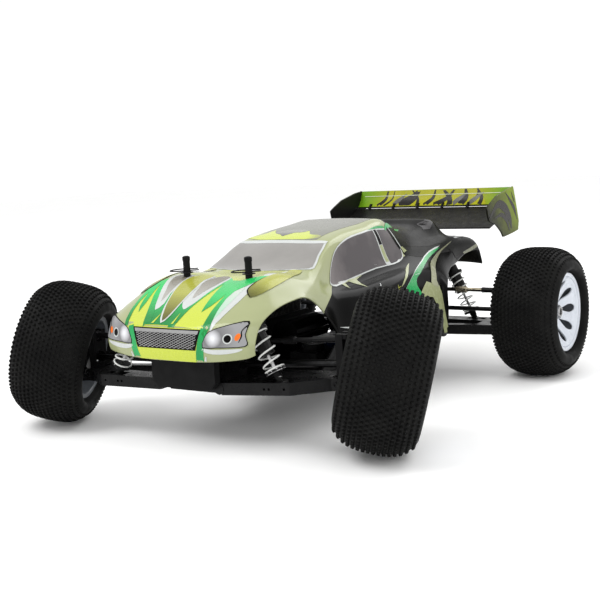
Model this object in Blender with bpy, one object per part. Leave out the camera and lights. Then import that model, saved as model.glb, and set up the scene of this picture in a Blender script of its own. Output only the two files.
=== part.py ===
"""A 1:8 scale electric four-wheel-drive RC truggy, as separate sub-parts in one frame.

Metres, +Z up. The front faces -Y and the car's left is +X. The origin is on the ground,
under the middle of the model. The front wheels stand steered to the left.
"""

from math import atan2, cos, hypot, pi, radians, sin, tau

import bmesh
import bpy
from mathutils import Matrix, Vector

# Driving dimensions
TYRE_DIAMETER = 0.142
TYRE_WIDTH = 0.0745
TRACK = 0.370
WHEELBASE = 0.357
FRONT_AXLE_Y = -0.205
REAR_AXLE_Y = FRONT_AXLE_Y + WHEELBASE
WHEEL_RADIUS = TYRE_DIAMETER / 2
WHEEL_SIDES = 20
AXLE_Z = WHEEL_RADIUS
STEER = radians(29)
CASTER = radians(30)
KINGPIN_AXIS = Vector((0, sin(CASTER), cos(CASTER)))
GAP = 0.0003

# Suspension, in a corner's own frame: x outboard from the centre plane, y away from the axle
# towards the nearer end of the car, z up from the ground
ARM_INNER_X = 0.034
ARM_OUTER_X = 0.1455
KINGPIN_X = 0.163
UPPER_LINK_Z = 0.093
OUTDRIVE_X = 0.030
ARM_Z = {"front": 0.056, "rear": 0.050}
SHOCK_TOP = {"front": (0.066, 0.120), "rear": (0.064, 0.119)}
SHOCK_FOOT = {"front": (0.0965, 0.0575), "rear": (0.0965, 0.0515)}
SHOCK_OFFSET = 0.0242
TOWER_FACE = 0.0085
TOWER_THICKNESS = 0.004

# Steering
TIE_ROD_Z = 0.0688
LINK_Z = 0.0640
LEVER_Z = (0.0078, 0.0122)
STEERING_ARM_TIP = (-0.002, 0.030)
LINK_CENTRE_X = -0.0124
LINK_HALF_WIDTH = 0.0420
SAVER_PIVOT = (-0.030, -0.136)

# Drivetrain
SHAFT_Z = 0.071
SPUR_TEETH = 40
PINION_TEETH = 14
GEAR_MODULE = 0.001
SPUR_Y = 0.030
GEAR_WIDTH = 0.007
MOTOR_DROP = 0.0045

# Chassis
PLATE_Z = 0.042
PLATE_THICKNESS = 0.003
DECK_Z = PLATE_Z + PLATE_THICKNESS + GAP
BODY_SKIN = 0.0012
POST_X = 0.0366
POST_Y = -0.1877
POST_TOP = 0.168

# Side, end, steering angle, and how far the arm has swung up from level: the tilted kingpins
# lower the inner wheel and lift the outer one, so the front arms stand at different angles
CORNERS = {
    "front_left": (1, "front", STEER, radians(4.1)),
    "front_right": (-1, "front", STEER, radians(-1.4)),
    "rear_left": (1, "rear", 0.0, 0.0),
    "rear_right": (-1, "rear", 0.0, 0.0),
}


# ---------------------------------------------------------------- materials and objects


def material(name, colour, roughness, metallic=0.0):
    """A Principled material, made once and shared by every part that names it."""
    found = bpy.data.materials.get(name)
    if found:
        return found
    made = bpy.data.materials.new(name)
    made.use_nodes = True
    shader = made.node_tree.nodes["Principled BSDF"]
    shader.inputs["Base Color"].default_value = (*colour, 1.0)
    shader.inputs["Roughness"].default_value = roughness
    shader.inputs["Metallic"].default_value = metallic
    return made


def black_nylon():
    return material("black_nylon", (0.018, 0.018, 0.020), 0.45)


def tyre_rubber():
    return material("tyre_rubber", (0.020, 0.020, 0.020), 0.80)


def white_nylon():
    return material("white_nylon", (0.82, 0.83, 0.86), 0.35)


def painted_shell():
    return material("painted_shell", (0.55, 0.60, 0.32), 0.25)


def wing_plastic():
    return material("wing_plastic", (0.50, 0.62, 0.06), 0.35)


def dark_alloy():
    return material("dark_alloy", (0.10, 0.10, 0.11), 0.35, 0.9)


def bright_steel():
    return material("bright_steel", (0.72, 0.72, 0.74), 0.25, 1.0)


def spring_steel():
    return material("spring_steel", (0.80, 0.80, 0.82), 0.30, 0.8)


def battery_wrap():
    return material("battery_wrap", (0.05, 0.09, 0.20), 0.40)


def clear_scene():
    for found in list(bpy.data.objects):
        bpy.data.objects.remove(found)


def add_empty(name, location, turn=None):
    empty = bpy.data.objects.new(name, None)
    empty.empty_display_size = 0.01
    empty.location = location
    if turn is not None:
        empty.rotation_euler = turn.to_euler()
    bpy.context.scene.collection.objects.link(empty)
    return empty


def add_part(name, mesh, finish, pivot=(0, 0, 0), parent=None):
    """An object whose mesh is given in the frame of its parent, with its origin at pivot."""
    mesh.name = name
    mesh.transform(Matrix.Translation(-Vector(pivot)))
    mesh.materials.clear()
    mesh.materials.append(finish)
    mesh.shade_smooth()
    mesh.set_sharp_from_angle(angle=radians(32))
    part = bpy.data.objects.new(name, mesh)
    part.location = pivot
    part.parent = parent
    bpy.context.scene.collection.objects.link(part)
    return part


# ---------------------------------------------------------------- solids


def mesh_of(bm):
    bmesh.ops.recalc_face_normals(bm, faces=bm.faces)
    mesh = bpy.data.meshes.new("solid")
    bm.to_mesh(mesh)
    bm.free()
    return mesh


def loft(rings):
    """A closed solid through rings of equal length, capped at both ends."""
    bm = bmesh.new()
    made = [[bm.verts.new(point) for point in ring] for ring in rings]
    count = len(made[0])
    for low, high in zip(made, made[1:]):
        for i in range(count):
            j = (i + 1) % count
            bm.faces.new((low[i], low[j], high[j], high[i]))
    bm.faces.new(made[0][::-1])
    bm.faces.new(made[-1])
    return mesh_of(bm)


def box(x0, x1, y0, y1, z0, z1):
    base = ((x0, y0), (x1, y0), (x1, y1), (x0, y1))
    return loft([[(x, y, z) for x, y in base] for z in (z0, z1)])


def slab(outline, start, end, axis="z"):
    """An outline given in the two axes other than axis, drawn out along axis."""
    place = {
        "x": lambda a, b, c: (c, a, b),
        "y": lambda a, b, c: (a, c, b),
        "z": lambda a, b, c: (a, b, c),
    }[axis]
    return loft([[place(a, b, c) for a, b in outline] for c in (start, end)])


def rod(start, end, radius, sides=10):
    """A round bar between two points."""
    start = Vector(start)
    end = Vector(end)
    turn = (end - start).to_track_quat("Z", "Y")
    rings = []
    angles = [tau * (i + 0.5) / sides for i in range(sides)]
    for centre in (start, end):
        spokes = [turn @ Vector((radius * cos(a), radius * sin(a), 0)) for a in angles]
        rings.append([centre + spoke for spoke in spokes])
    return loft(rings)


def turned(profile, sides, phase=0.0):
    """A closed outline of (x, radius) points, turned about the X axis into a ring."""
    bm = bmesh.new()
    rings = []
    for i in range(sides):
        angle = phase + tau * i / sides
        rings.append([bm.verts.new((x, r * cos(angle), r * sin(angle))) for x, r in profile])
    count = len(profile)
    for i in range(sides):
        here = rings[i]
        there = rings[(i + 1) % sides]
        for j in range(count):
            k = (j + 1) % count
            bm.faces.new((here[j], here[k], there[k], there[j]))
    return mesh_of(bm)


def helix(radius, wire, length, turns, steps=8, sides=4):
    """A coil about the Z axis, from z = 0 up to length."""
    rise = length - 2 * wire
    rings = []
    count = int(turns * steps)
    for i in range(count + 1):
        angle = tau * turns * i / count
        out = Vector((cos(angle), sin(angle), 0))
        centre = out * radius + Vector((0, 0, wire + rise * i / count))
        corners = [tau * k / sides for k in range(sides)]
        rings.append([centre + wire * (out * cos(a) + Vector((0, 0, sin(a)))) for a in corners])
    return loft(rings)


def moved(mesh, offset):
    mesh.transform(Matrix.Translation(Vector(offset)))
    return mesh


def mirrored(outline):
    """A half outline at x > 0, completed on the other side of the Y axis."""
    return list(outline) + [(-x, y) for x, y in reversed(outline)]


def fuse(solids, cuts=()):
    """One mesh: the first solid, joined with the rest, with the cuts taken away."""
    scene = bpy.context.scene.collection.objects
    base = bpy.data.objects.new("fuse_base", solids[0])
    scene.link(base)
    helpers = []
    for operation, shapes in (("UNION", solids[1:]), ("DIFFERENCE", cuts)):
        for shape in shapes:
            helper = bpy.data.objects.new("fuse_helper", shape)
            scene.link(helper)
            helpers.append(helper)
            step = base.modifiers.new("fuse", "BOOLEAN")
            step.operation = operation
            step.solver = "EXACT"
            step.object = helper
    graph = bpy.context.evaluated_depsgraph_get()
    mesh = bpy.data.meshes.new_from_object(base.evaluated_get(graph))
    for done in (base, *helpers):
        bpy.data.objects.remove(done)
    bm = bmesh.new()
    bm.from_mesh(mesh)
    bmesh.ops.remove_doubles(bm, verts=bm.verts, dist=2e-6)
    bmesh.ops.dissolve_degenerate(bm, dist=2e-6, edges=bm.edges)
    bm.to_mesh(mesh)
    bm.free()
    return mesh


def placed(mesh, side, axle_y, toward_end):
    """Moves a mesh from a corner's own frame to the car's frame."""
    mesh.transform(Matrix.Diagonal((side, toward_end, 1, 1)))
    if side * toward_end < 0:
        mesh.flip_normals()
    return moved(mesh, (0, axle_y, 0))


# ---------------------------------------------------------------- wheels


def tyre_mesh():
    """A hollow carcass, open at the beads, about the X axis, standing on a flat."""
    half = TYRE_WIDTH / 2
    crown = WHEEL_RADIUS / cos(pi / WHEEL_SIDES)
    outer = [
        (half - 0.0100, 0.0412),
        (half - 0.0085, 0.0448),
        (half, 0.0535),
        (half - 0.0030, 0.0645),
        (half - 0.0120, crown - 0.0020),
        (0.0060, crown),
    ]
    inner = [
        (half - 0.0140, 0.0412),
        (half - 0.0040, 0.0500),
        (half - 0.0160, crown - 0.0060),
    ]
    profile = outer + [(-x, r) for x, r in reversed(outer)]
    profile += [(-x, r) for x, r in inner] + [(x, r) for x, r in reversed(inner)]
    return turned(profile, WHEEL_SIDES, phase=pi / WHEEL_SIDES + pi / 2)


def rim_mesh():
    """A dished wheel with its hub bore, about the X axis, face towards +X."""
    profile = [
        (0.0300, 0.0432),
        (0.0300, 0.0402),
        (0.0265, 0.0365),
        (0.0140, 0.0115),
        (0.0150, 0.0032),
        (-0.0125, 0.0032),
        (-0.0125, 0.0085),
        (0.0060, 0.0100),
        (0.0180, 0.0340),
        (0.0150, 0.0380),
        (-0.0290, 0.0380),
        (-0.0300, 0.0425),
        (-0.0282, 0.0425),
        (-0.0276, 0.0406),
        (0.0277, 0.0406),
        (0.0284, 0.0432),
    ]
    return turned(profile, WHEEL_SIDES, phase=pi / WHEEL_SIDES + pi / 2)


def make_wheel(name, side, parent, offset):
    for kind, build, finish in (
        ("tyre", tyre_mesh, tyre_rubber()),
        ("rim", rim_mesh, white_nylon()),
    ):
        mesh = build()
        if side < 0:
            mesh.transform(Matrix.Diagonal((-1, 1, 1, 1)))
            mesh.flip_normals()
        centre = (side * offset, 0, 0)
        add_part(f"{kind}_{name}", moved(mesh, centre), finish, centre, parent)


# ---------------------------------------------------------------- suspension, corner frame


def swung(mesh, x, z, bump):
    """Swings a mesh up about an axis along Y through (x, z)."""
    pivot = Vector((x, 0, z))
    turn = Matrix.Rotation(-bump, 4, "Y")
    mesh.transform(Matrix.Translation(pivot) @ turn @ Matrix.Translation(-pivot))
    return mesh


def hub_shift(bump):
    """How far a hub has moved, as the arm and the link above it are equally long."""
    length = ARM_OUTER_X - ARM_INNER_X
    return Vector((length * (cos(bump) - 1), 0, length * sin(bump)))


def lower_arm_mesh(z):
    """A wishbone: inner barrel, two outer lugs, a pocket for the shock's eyelet."""
    low = z - 0.0055
    high = z + 0.0055
    outline = [
        (0.0360, -0.0300),
        (0.0600, -0.0300),
        (0.1405, -0.0148),
        (0.1460, -0.0148),
        (0.1460, 0.0148),
        (0.1405, 0.0148),
        (0.1100, 0.0345),
        (0.0360, 0.0345),
    ]
    solids = [slab(outline, low, high)]
    solids.append(rod((ARM_INNER_X, -0.0305, z), (ARM_INNER_X, 0.0350, z), 0.0052))
    for start in (-0.0150, 0.0104):
        solids.append(rod((ARM_OUTER_X, start, z), (ARM_OUTER_X, start + 0.0046, z), 0.0056))
    foot_x = SHOCK_FOOT["front"][0]
    window = [(0.0560, -0.0200), (0.1120, -0.0100), (0.1120, 0.0090), (0.0560, 0.0130)]
    cuts = [
        box(0.1372, 0.1600, -0.0103, 0.0103, low - 0.01, high + 0.01),
        box(foot_x - 0.0120, foot_x + 0.0115, 0.0195, 0.0289, low - 0.01, high + 0.01),
        slab(window, low - 0.01, high + 0.01),
    ]
    for hole_x in (0.0835, 0.0885, 0.1045):
        cuts.append(rod((hole_x, 0.0300, z), (hole_x, 0.0370, z), 0.0013, 8))
    arm = fuse(solids, cuts)
    foot_z = z + SHOCK_FOOT["front"][1] - ARM_Z["front"]
    pin = rod((foot_x, 0.0170, foot_z), (foot_x, 0.0320, foot_z), 0.0013, 8)
    return fuse([arm, pin])


def upper_link_mesh():
    z = UPPER_LINK_Z
    solids = [rod((ARM_INNER_X, 0, z), (ARM_OUTER_X, 0, z), 0.0022, 8)]
    middle = (ARM_INNER_X + ARM_OUTER_X) / 2
    solids.append(rod((middle - 0.006, 0, z), (middle + 0.006, 0, z), 0.0034, 6))
    for end_x, inward in ((ARM_INNER_X, 1), (ARM_OUTER_X, -1)):
        solids.append(rod((end_x, -0.0031, z), (end_x, 0.0031, z), 0.0046))
        solids.append(
            rod((end_x + inward * 0.002, 0, z), (end_x + inward * 0.030, 0, z), 0.0029, 8)
        )
    return fuse(solids)


def hub_plate(z):
    """The upright plate shared by both kinds of hub: clear of the arm, link and shaft."""
    low = z - 0.0085
    top = 0.0985
    plate = box(0.1425, 0.1495, -0.0085, 0.0085, low, top)
    cuts = [
        rod((0.130, 0, AXLE_Z), (0.1515, 0, AXLE_Z), 0.0066, 12),
        box(0.1380, 0.1512, -0.0036, 0.0036, 0.0868, 0.1100),
    ]
    return plate, cuts


def front_hub_mesh():
    z = ARM_Z["front"]
    plate, cuts = hub_plate(z)
    solids = [plate]
    for low, high, lean in ((0.0475, 0.0520, 0.0105), (0.0945, 0.0985, -0.0125)):
        lug = [(0.1485, -0.0080), (0.1530, -0.0080), (0.1690, lean - 0.0070)]
        lug += [(0.1690, lean + 0.0070), (0.1530, 0.0080), (0.1485, 0.0080)]
        solids.append(slab(lug, low, high))
    return fuse(solids, cuts)


def rear_hub_mesh():
    z = ARM_Z["rear"]
    plate, cuts = hub_plate(z)
    carrier = rod((0.1480, 0, AXLE_Z), (0.1718, 0, AXLE_Z), 0.0140, 14)
    bore = rod((0.1400, 0, AXLE_Z), (0.1800, 0, AXLE_Z), 0.0066, 12)
    return fuse([plate, carrier], [*cuts, bore])


def knuckle_mesh():
    """Axle carrier with its kingpins and a steering arm, about the middle of the kingpins."""
    block = box(-0.0065, 0.0055, -0.0110, 0.0110, -0.0130, 0.0130)
    pins = rod((0, 0, -0.0182), (0, 0, 0.0228), 0.0045, 10)
    boss = rod((-0.002, 0, 0), (0.0088, 0, 0), 0.0096, 12)
    tip_x, tip_y = STEERING_ARM_TIP
    outline = [
        (-0.0045, 0.0040),
        (0.0035, 0.0040),
        (tip_x + 0.0035, tip_y + 0.0030),
        (tip_x - 0.0035, tip_y + 0.0030),
    ]
    lever = slab(outline[::-1], *LEVER_Z)
    bore = rod((-0.0200, 0, 0), (0.0200, 0, 0), 0.0066, 12)
    for mesh in (block, pins):
        mesh.transform(Matrix.Rotation(-CASTER, 4, "X"))
    return fuse([block, pins, boss, lever], [bore])


def shock_frame(end, bump):
    """Top pivot, unit direction down the shock, and eye-to-eye length."""
    top = Vector((SHOCK_TOP[end][0], SHOCK_OFFSET, SHOCK_TOP[end][1]))
    reach = Vector((SHOCK_FOOT[end][0] - ARM_INNER_X, 0, SHOCK_FOOT[end][1] - ARM_Z[end]))
    foot = Vector((ARM_INNER_X, SHOCK_OFFSET, ARM_Z[end])) + Matrix.Rotation(-bump, 3, "Y") @ reach
    return top, (foot - top).normalized(), (foot - top).length


def shock_body_mesh(end, bump):
    top, down, _ = shock_frame(end, bump)
    eye = rod(top - Vector((0, 0.0040, 0)), top + Vector((0, 0.0040, 0)), 0.0052, 10)
    tube = rod(top + down * 0.0030, top + down * 0.0360, 0.0068, 12)
    collar = rod(top + down * 0.0105, top + down * 0.0135, 0.0100, 12)
    cuts = [
        rod(top + down * 0.0062, top + down * 0.0400, 0.0028, 8),
        rod(top - Vector((0, 0.01, 0)), top + Vector((0, 0.01, 0)), 0.0018, 8),
    ]
    return fuse([eye, tube, collar], cuts)


def shock_shaft_mesh(end, bump):
    top, down, length = shock_frame(end, bump)
    foot = top + down * length
    shaft = rod(top + down * 0.0222, top + down * (length - 0.0030), 0.0016, 8)
    cup = rod(top + down * (length - 0.0150), top + down * (length - 0.0127), 0.0096, 12)
    neck = rod(top + down * (length - 0.0130), top + down * (length - 0.0035), 0.0032, 8)
    eye = rod(foot - Vector((0, 0.0040, 0)), foot + Vector((0, 0.0040, 0)), 0.0056, 10)
    hole = rod(foot - Vector((0, 0.01, 0)), foot + Vector((0, 0.01, 0)), 0.0034, 8)
    return fuse([shaft, cup, neck, eye], [hole])


def shock_spring_mesh(end, bump):
    top, down, length = shock_frame(end, bump)
    start = 0.0138
    coil = helix(0.0084, 0.0011, length - 0.0153 - start, 5.0)
    coil.transform(down.to_track_quat("Z", "Y").to_matrix().to_4x4())
    return moved(coil, top + down * start)


def dogbone_mesh():
    """A drive shaft from the gearbox outdrive to just inside the hub."""
    z = SHAFT_Z
    shaft = rod((0.0365, 0, z), (0.1485, 0, z), 0.0026, 8)
    inner = rod((0.0362, 0, z), (0.0405, 0, z), 0.0036, 8)
    outer = rod((0.1440, 0, z), (0.1488, 0, z), 0.0036, 8)
    return fuse([shaft, inner, outer])


def make_corner(name):
    side, end, steer, bump = CORNERS[name]
    axle_y = FRONT_AXLE_Y if end == "front" else REAR_AXLE_Y
    toward_end = -1 if end == "front" else 1
    z = ARM_Z[end]
    shift = hub_shift(bump)

    def spot(x, y, height):
        return (side * x, axle_y + toward_end * y, height)

    def add(kind, mesh, finish, pivot):
        add_part(f"{kind}_{name}", placed(mesh, side, axle_y, toward_end), finish, pivot)

    top, down, length = shock_frame(end, bump)
    arm = swung(lower_arm_mesh(z), ARM_INNER_X, z, bump)
    link = swung(upper_link_mesh(), ARM_INNER_X, UPPER_LINK_Z, bump)
    shaft = swung(dogbone_mesh(), OUTDRIVE_X, SHAFT_Z, 0.96 * bump)
    hub = front_hub_mesh() if end == "front" else rear_hub_mesh()
    add("lower_arm", arm, black_nylon(), spot(ARM_INNER_X, 0, z))
    add("upper_link", link, black_nylon(), spot(ARM_INNER_X, 0, UPPER_LINK_Z))
    add("shock_body", shock_body_mesh(end, bump), dark_alloy(), spot(*top))
    add("shock_shaft", shock_shaft_mesh(end, bump), bright_steel(), spot(*(top + down * length)))
    add("shock_spring", shock_spring_mesh(end, bump), spring_steel(), spot(*top))
    add("axle_shaft", shaft, bright_steel(), spot(OUTDRIVE_X, 0, SHAFT_Z))
    hub_pivot = Vector((ARM_OUTER_X, 0, z)) + shift
    add("hub", moved(hub, shift), black_nylon(), spot(*hub_pivot))

    turn = Matrix.Rotation(steer, 4, KINGPIN_AXIS)
    centre = Vector((KINGPIN_X, 0, AXLE_Z)) + shift
    kingpin = add_empty(f"kingpin_{name}", spot(*centre), turn)
    if end == "front":
        mesh = knuckle_mesh()
        if side < 0:
            mesh.transform(Matrix.Diagonal((-1, 1, 1, 1)))
            mesh.flip_normals()
        add_part(f"steering_knuckle_{name}", mesh, black_nylon(), (0, 0, 0), kingpin)
    make_wheel(name, side, kingpin, TRACK / 2 - KINGPIN_X)


# ---------------------------------------------------------------- steering


def tip_position(side):
    """Where a knuckle's steering arm ends, in the car's frame, before the arms swing."""
    tip = Vector((STEERING_ARM_TIP[0] * side, STEERING_ARM_TIP[1], LEVER_Z[0]))
    tip = Matrix.Rotation(STEER, 3, KINGPIN_AXIS) @ tip
    return side * KINGPIN_X + tip.x, FRONT_AXLE_Y + tip.y


def make_tie_rod(name, side):
    tip_x, tip_y = tip_position(side)
    inner_x = LINK_CENTRE_X + side * (LINK_HALF_WIDTH + 0.0060)
    z = TIE_ROD_Z
    solids = [rod((inner_x, tip_y, z), (tip_x, tip_y, z), 0.0016, 8)]
    for end_x, inward in ((inner_x, side), (tip_x, -side)):
        solids.append(rod((end_x, tip_y, z - 0.0024), (end_x, tip_y, z + 0.0024), 0.0030, 8))
        solids.append(
            rod((end_x, tip_y, z), (end_x + inward * 0.0220, tip_y, z), 0.0023, 8)
        )
    bump = CORNERS[f"front_{name}"][3] * side
    bar = swung(fuse(solids), side * ARM_INNER_X, ARM_Z["front"], bump)
    add_part(f"tie_rod_{name}", bar, bright_steel(), (inner_x, tip_y, z))


def make_steering_link():
    """The cross plate that carries the inner ends of both tie rods."""
    y = SAVER_PIVOT[1] - 0.0308
    low = LINK_Z - 0.0022
    high = LINK_Z + 0.0022
    outline = [(-LINK_HALF_WIDTH, y - 0.006), (LINK_HALF_WIDTH, y - 0.006)]
    outline += [(LINK_HALF_WIDTH, y + 0.003), (0.0120, y + 0.008)]
    outline += [(-0.0120, y + 0.008), (-LINK_HALF_WIDTH, y + 0.003)]
    plate = slab([(LINK_CENTRE_X + a, b) for a, b in outline], low, high)
    add_part("steering_link", plate, dark_alloy(), (LINK_CENTRE_X, y, LINK_Z))


def make_servo_saver():
    """A crank on a post behind the cross plate, with its arm under the plate."""
    x, y = SAVER_PIVOT
    low = LINK_Z - 0.0085
    high = LINK_Z - 0.0030
    reach = Vector((-0.0110, -0.0290))
    across = Vector((-reach.y, reach.x)).normalized()
    tip = Vector((x, y)) + reach
    outline = [Vector((x, y)) + across * 0.0060, tip + across * 0.0035]
    outline += [tip - across * 0.0035, Vector((x, y)) - across * 0.0060]
    arm = slab([tuple(p) for p in outline], low, high)
    post = rod((x, y, DECK_Z + 0.0030), (x, y, high + 0.0080), 0.0068, 12)
    horn = slab(
        [(x - 0.0150, y - 0.0035), (x, y - 0.0045), (x, y + 0.0045), (x - 0.0150, y + 0.0035)],
        high + 0.0030,
        high + 0.0070,
    )
    add_part("servo_saver", fuse([post, arm, horn]), black_nylon(), (x, y, LINK_Z))


# ---------------------------------------------------------------- drivetrain


def gear_outline(teeth, phase):
    """Straight-sided teeth a little thin and short, so that a pair runs with clearance."""
    pitch = teeth * GEAR_MODULE / 2
    tip = pitch + 0.80 * GEAR_MODULE
    root = pitch - 1.15 * GEAR_MODULE
    step = tau / teeth
    points = []
    for i in range(teeth):
        centre = phase + i * step
        for part, radius in ((-0.30, root), (-0.13, tip), (0.13, tip), (0.30, root)):
            angle = centre + part * step
            points.append((radius * cos(angle), radius * sin(angle)))
    return points


def motor_place():
    """The motor shaft's (x, z), one centre distance from the spur gear's."""
    centres = (SPUR_TEETH + PINION_TEETH) * GEAR_MODULE / 2
    sideways = (centres**2 - MOTOR_DROP**2) ** 0.5
    return -sideways, SHAFT_Z - MOTOR_DROP


def make_gears():
    motor_x, motor_z = motor_place()
    toward_motor = atan2(motor_z - SHAFT_Z, motor_x)
    start = SPUR_Y + 0.0003
    spur_teeth = gear_outline(SPUR_TEETH, toward_motor)
    spur = slab([(a, b + SHAFT_Z) for a, b in spur_teeth], SPUR_Y, SPUR_Y + GEAR_WIDTH, "y")
    hub = rod((0, SPUR_Y - 0.006, SHAFT_Z), (0, SPUR_Y + GEAR_WIDTH + 0.006, SHAFT_Z), 0.0095, 12)
    add_part("spur_gear", fuse([spur, hub]), dark_alloy(), (0, SPUR_Y, SHAFT_Z))
    half_step = pi / PINION_TEETH
    pinion_teeth = gear_outline(PINION_TEETH, toward_motor + pi + half_step)
    pinion = slab(
        [(a + motor_x, b + motor_z) for a, b in pinion_teeth],
        start,
        start + GEAR_WIDTH - 0.0006,
        "y",
    )
    add_part("pinion_gear", pinion, bright_steel(), (motor_x, start, motor_z))


def make_driveshaft(name, start_y, end_y):
    shaft = rod((0, start_y, SHAFT_Z), (0, end_y, SHAFT_Z), 0.0024, 8)
    near = rod((0, start_y, SHAFT_Z), (0, start_y + 0.007, SHAFT_Z), 0.0042, 8)
    far = rod((0, end_y - 0.007, SHAFT_Z), (0, end_y, SHAFT_Z), 0.0042, 8)
    add_part(name, fuse([shaft, near, far]), bright_steel(), (0, start_y, SHAFT_Z))


def make_driveshafts():
    hub_front = SPUR_Y - 0.006
    hub_rear = SPUR_Y + GEAR_WIDTH + 0.006
    make_driveshaft("front_driveshaft", FRONT_AXLE_Y + 0.0210, hub_front - GAP)
    make_driveshaft("rear_driveshaft", hub_rear + GAP, REAR_AXLE_Y - 0.0310)


def gearbox_mesh(low, back, height):
    """A differential case with its two outdrive cups, in the corner frame."""
    case = loft(
        [
            [(x, y, z) for x, y in ((-w, back), (w, back), (w, 0.0080), (-w, 0.0080))]
            for z, w in ((low, 0.0260), (height - 0.008, 0.0260), (height, 0.0190))
        ]
    )
    cups = rod((-0.0348, 0, SHAFT_Z), (0.0348, 0, SHAFT_Z), 0.0058, 14)
    input_cup = rod((0, back + 0.004, SHAFT_Z), (0, back - 0.0020, SHAFT_Z), 0.0058, 14)
    return fuse([case, cups, input_cup])


def make_gearboxes():
    front = gearbox_mesh(0.0516, -0.0185, 0.0880)
    add_part("front_gearbox", placed(front, 1, FRONT_AXLE_Y, -1), black_nylon())
    rear = gearbox_mesh(DECK_Z, -0.0285, 0.0880)
    add_part("rear_gearbox", placed(rear, 1, REAR_AXLE_Y, 1), black_nylon())


def make_motor():
    x, z = motor_place()
    end = SPUR_Y - 0.0150
    can = rod((x, end - 0.060, z), (x, end, z), 0.0175, 20)
    shaft = rod((x, end - 0.002, z), (x, SPUR_Y, z), 0.0016, 8)
    foot = box(x - 0.0150, x + 0.0150, end - 0.0540, end - 0.0060, DECK_Z + 0.0020, z - 0.0100)
    add_part("motor", fuse([can, shaft, foot]), dark_alloy(), (x, end, z))


# ---------------------------------------------------------------- chassis and electronics


def make_chassis_plate():
    stations = [
        (-0.2280, 0.0220, 0.0070),
        (-0.1700, 0.0260, 0.0035),
        (-0.1250, 0.0600, 0.0),
        (-0.1050, 0.0640, 0.0),
        (0.0700, 0.0640, 0.0),
        (0.0900, 0.0580, 0.0),
        (0.1200, 0.0280, 0.0),
        (0.1950, 0.0260, 0.0),
        (0.2050, 0.0180, 0.0),
    ]
    rings = []
    for y, half, rise in stations:
        low = PLATE_Z + rise
        high = low + PLATE_THICKNESS
        rings.append([(-half, y, low), (half, y, low), (half, y, high), (-half, y, high)])
    add_part("chassis_plate", loft(rings), dark_alloy())


def make_mud_guard_tray():
    """A thin floor on the plate with a sloping wall up each side."""
    skin = 0.0016
    low = DECK_Z
    front = -0.1180
    rear = 0.0850
    floor = 0.0630
    top_x = 0.0820
    top_z = 0.0760
    outline = [(-floor, low), (floor, low), (top_x, top_z), (top_x - skin, top_z)]
    outline += [(floor - 0.0010, low + skin), (-floor + 0.0010, low + skin)]
    outline += [(-top_x + skin, top_z), (-top_x, top_z)]
    add_part("mud_guard_tray", slab(outline, front, rear, "y"), black_nylon())


def make_electronics():
    floor = DECK_Z + 0.0016 + GAP
    pack = box(0.0260, 0.0580, -0.0700, 0.0550, floor, floor + 0.0255)
    add_part("battery_pack", pack, battery_wrap())
    case = box(0.0250, 0.0560, -0.1120, -0.0760, floor, floor + 0.0180)
    fan = rod((0.0405, -0.0940, floor + 0.017), (0.0405, -0.0940, floor + 0.0250), 0.0120, 14)
    add_part("speed_controller", fuse([case, fan]), black_nylon())
    servo = box(-0.0600, -0.0400, -0.1130, -0.0730, floor, floor + 0.0330)
    ears = box(-0.0590, -0.0410, -0.1160, -0.0680, floor + 0.0220, floor + 0.0245)
    add_part("steering_servo", fuse([servo, ears]), black_nylon())


def make_front_bumper():
    """A chamfered block ahead of the arms, with a tongue on the chassis plate."""
    half = 0.0365
    low = 0.0555
    high = 0.0880
    chamfer = 0.0070
    outline = [(-half + chamfer, low), (half - chamfer, low), (half, low + chamfer)]
    outline += [(half, high), (-half, high), (-half, low + chamfer)]
    face = slab(outline, FRONT_AXLE_Y - 0.0428, FRONT_AXLE_Y - 0.0354, "y")
    tongue = box(-0.0180, 0.0180, FRONT_AXLE_Y - 0.0400, FRONT_AXLE_Y - 0.0150, 0.0538, 0.0562)
    add_part("front_bumper", fuse([face, tongue]), black_nylon())


def tower_mesh(end, low):
    """A shock tower plate with the two top pins that the shocks hang on."""
    top_x, top_z = SHOCK_TOP[end]
    half = [
        (0.0200, low),
        (0.0240, 0.0880),
        (0.0480, 0.1020),
        (top_x + 0.0050, top_z - 0.0060),
        (top_x + 0.0050, top_z + 0.0030),
        (top_x - 0.0010, top_z + 0.0060),
        (0.0400, 0.1180),
        (0.0160, 0.1060),
    ]
    back = TOWER_FACE
    plate = slab(mirrored(half), back, back + TOWER_THICKNESS, "y")
    pins = []
    for x in (top_x, -top_x):
        start = (x, back + 0.001, top_z)
        pins.append(rod(start, (x, SHOCK_OFFSET + 0.0050, top_z), 0.0014, 8))
    return [plate, *pins]


def make_front_tower():
    solids = tower_mesh("front", 0.0620)
    reach = POST_Y - FRONT_AXLE_Y
    for x in (POST_X, -POST_X):
        solids.append(rod((x, -reach, 0.1050), (x, -reach, POST_TOP), 0.0034, 12))
        solids.append(box(x - 0.0050, x + 0.0050, -reach - 0.004, TOWER_FACE + 0.002, 0.1050, 0.1110))
    mesh = placed(fuse(solids), 1, FRONT_AXLE_Y, -1)
    add_part("front_shock_tower", mesh, black_nylon())


def make_rear_tower():
    mesh = placed(fuse(tower_mesh("rear", 0.0560)), 1, REAR_AXLE_Y, 1)
    add_part("rear_shock_tower", mesh, black_nylon())


# ---------------------------------------------------------------- body shell and wing

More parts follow.
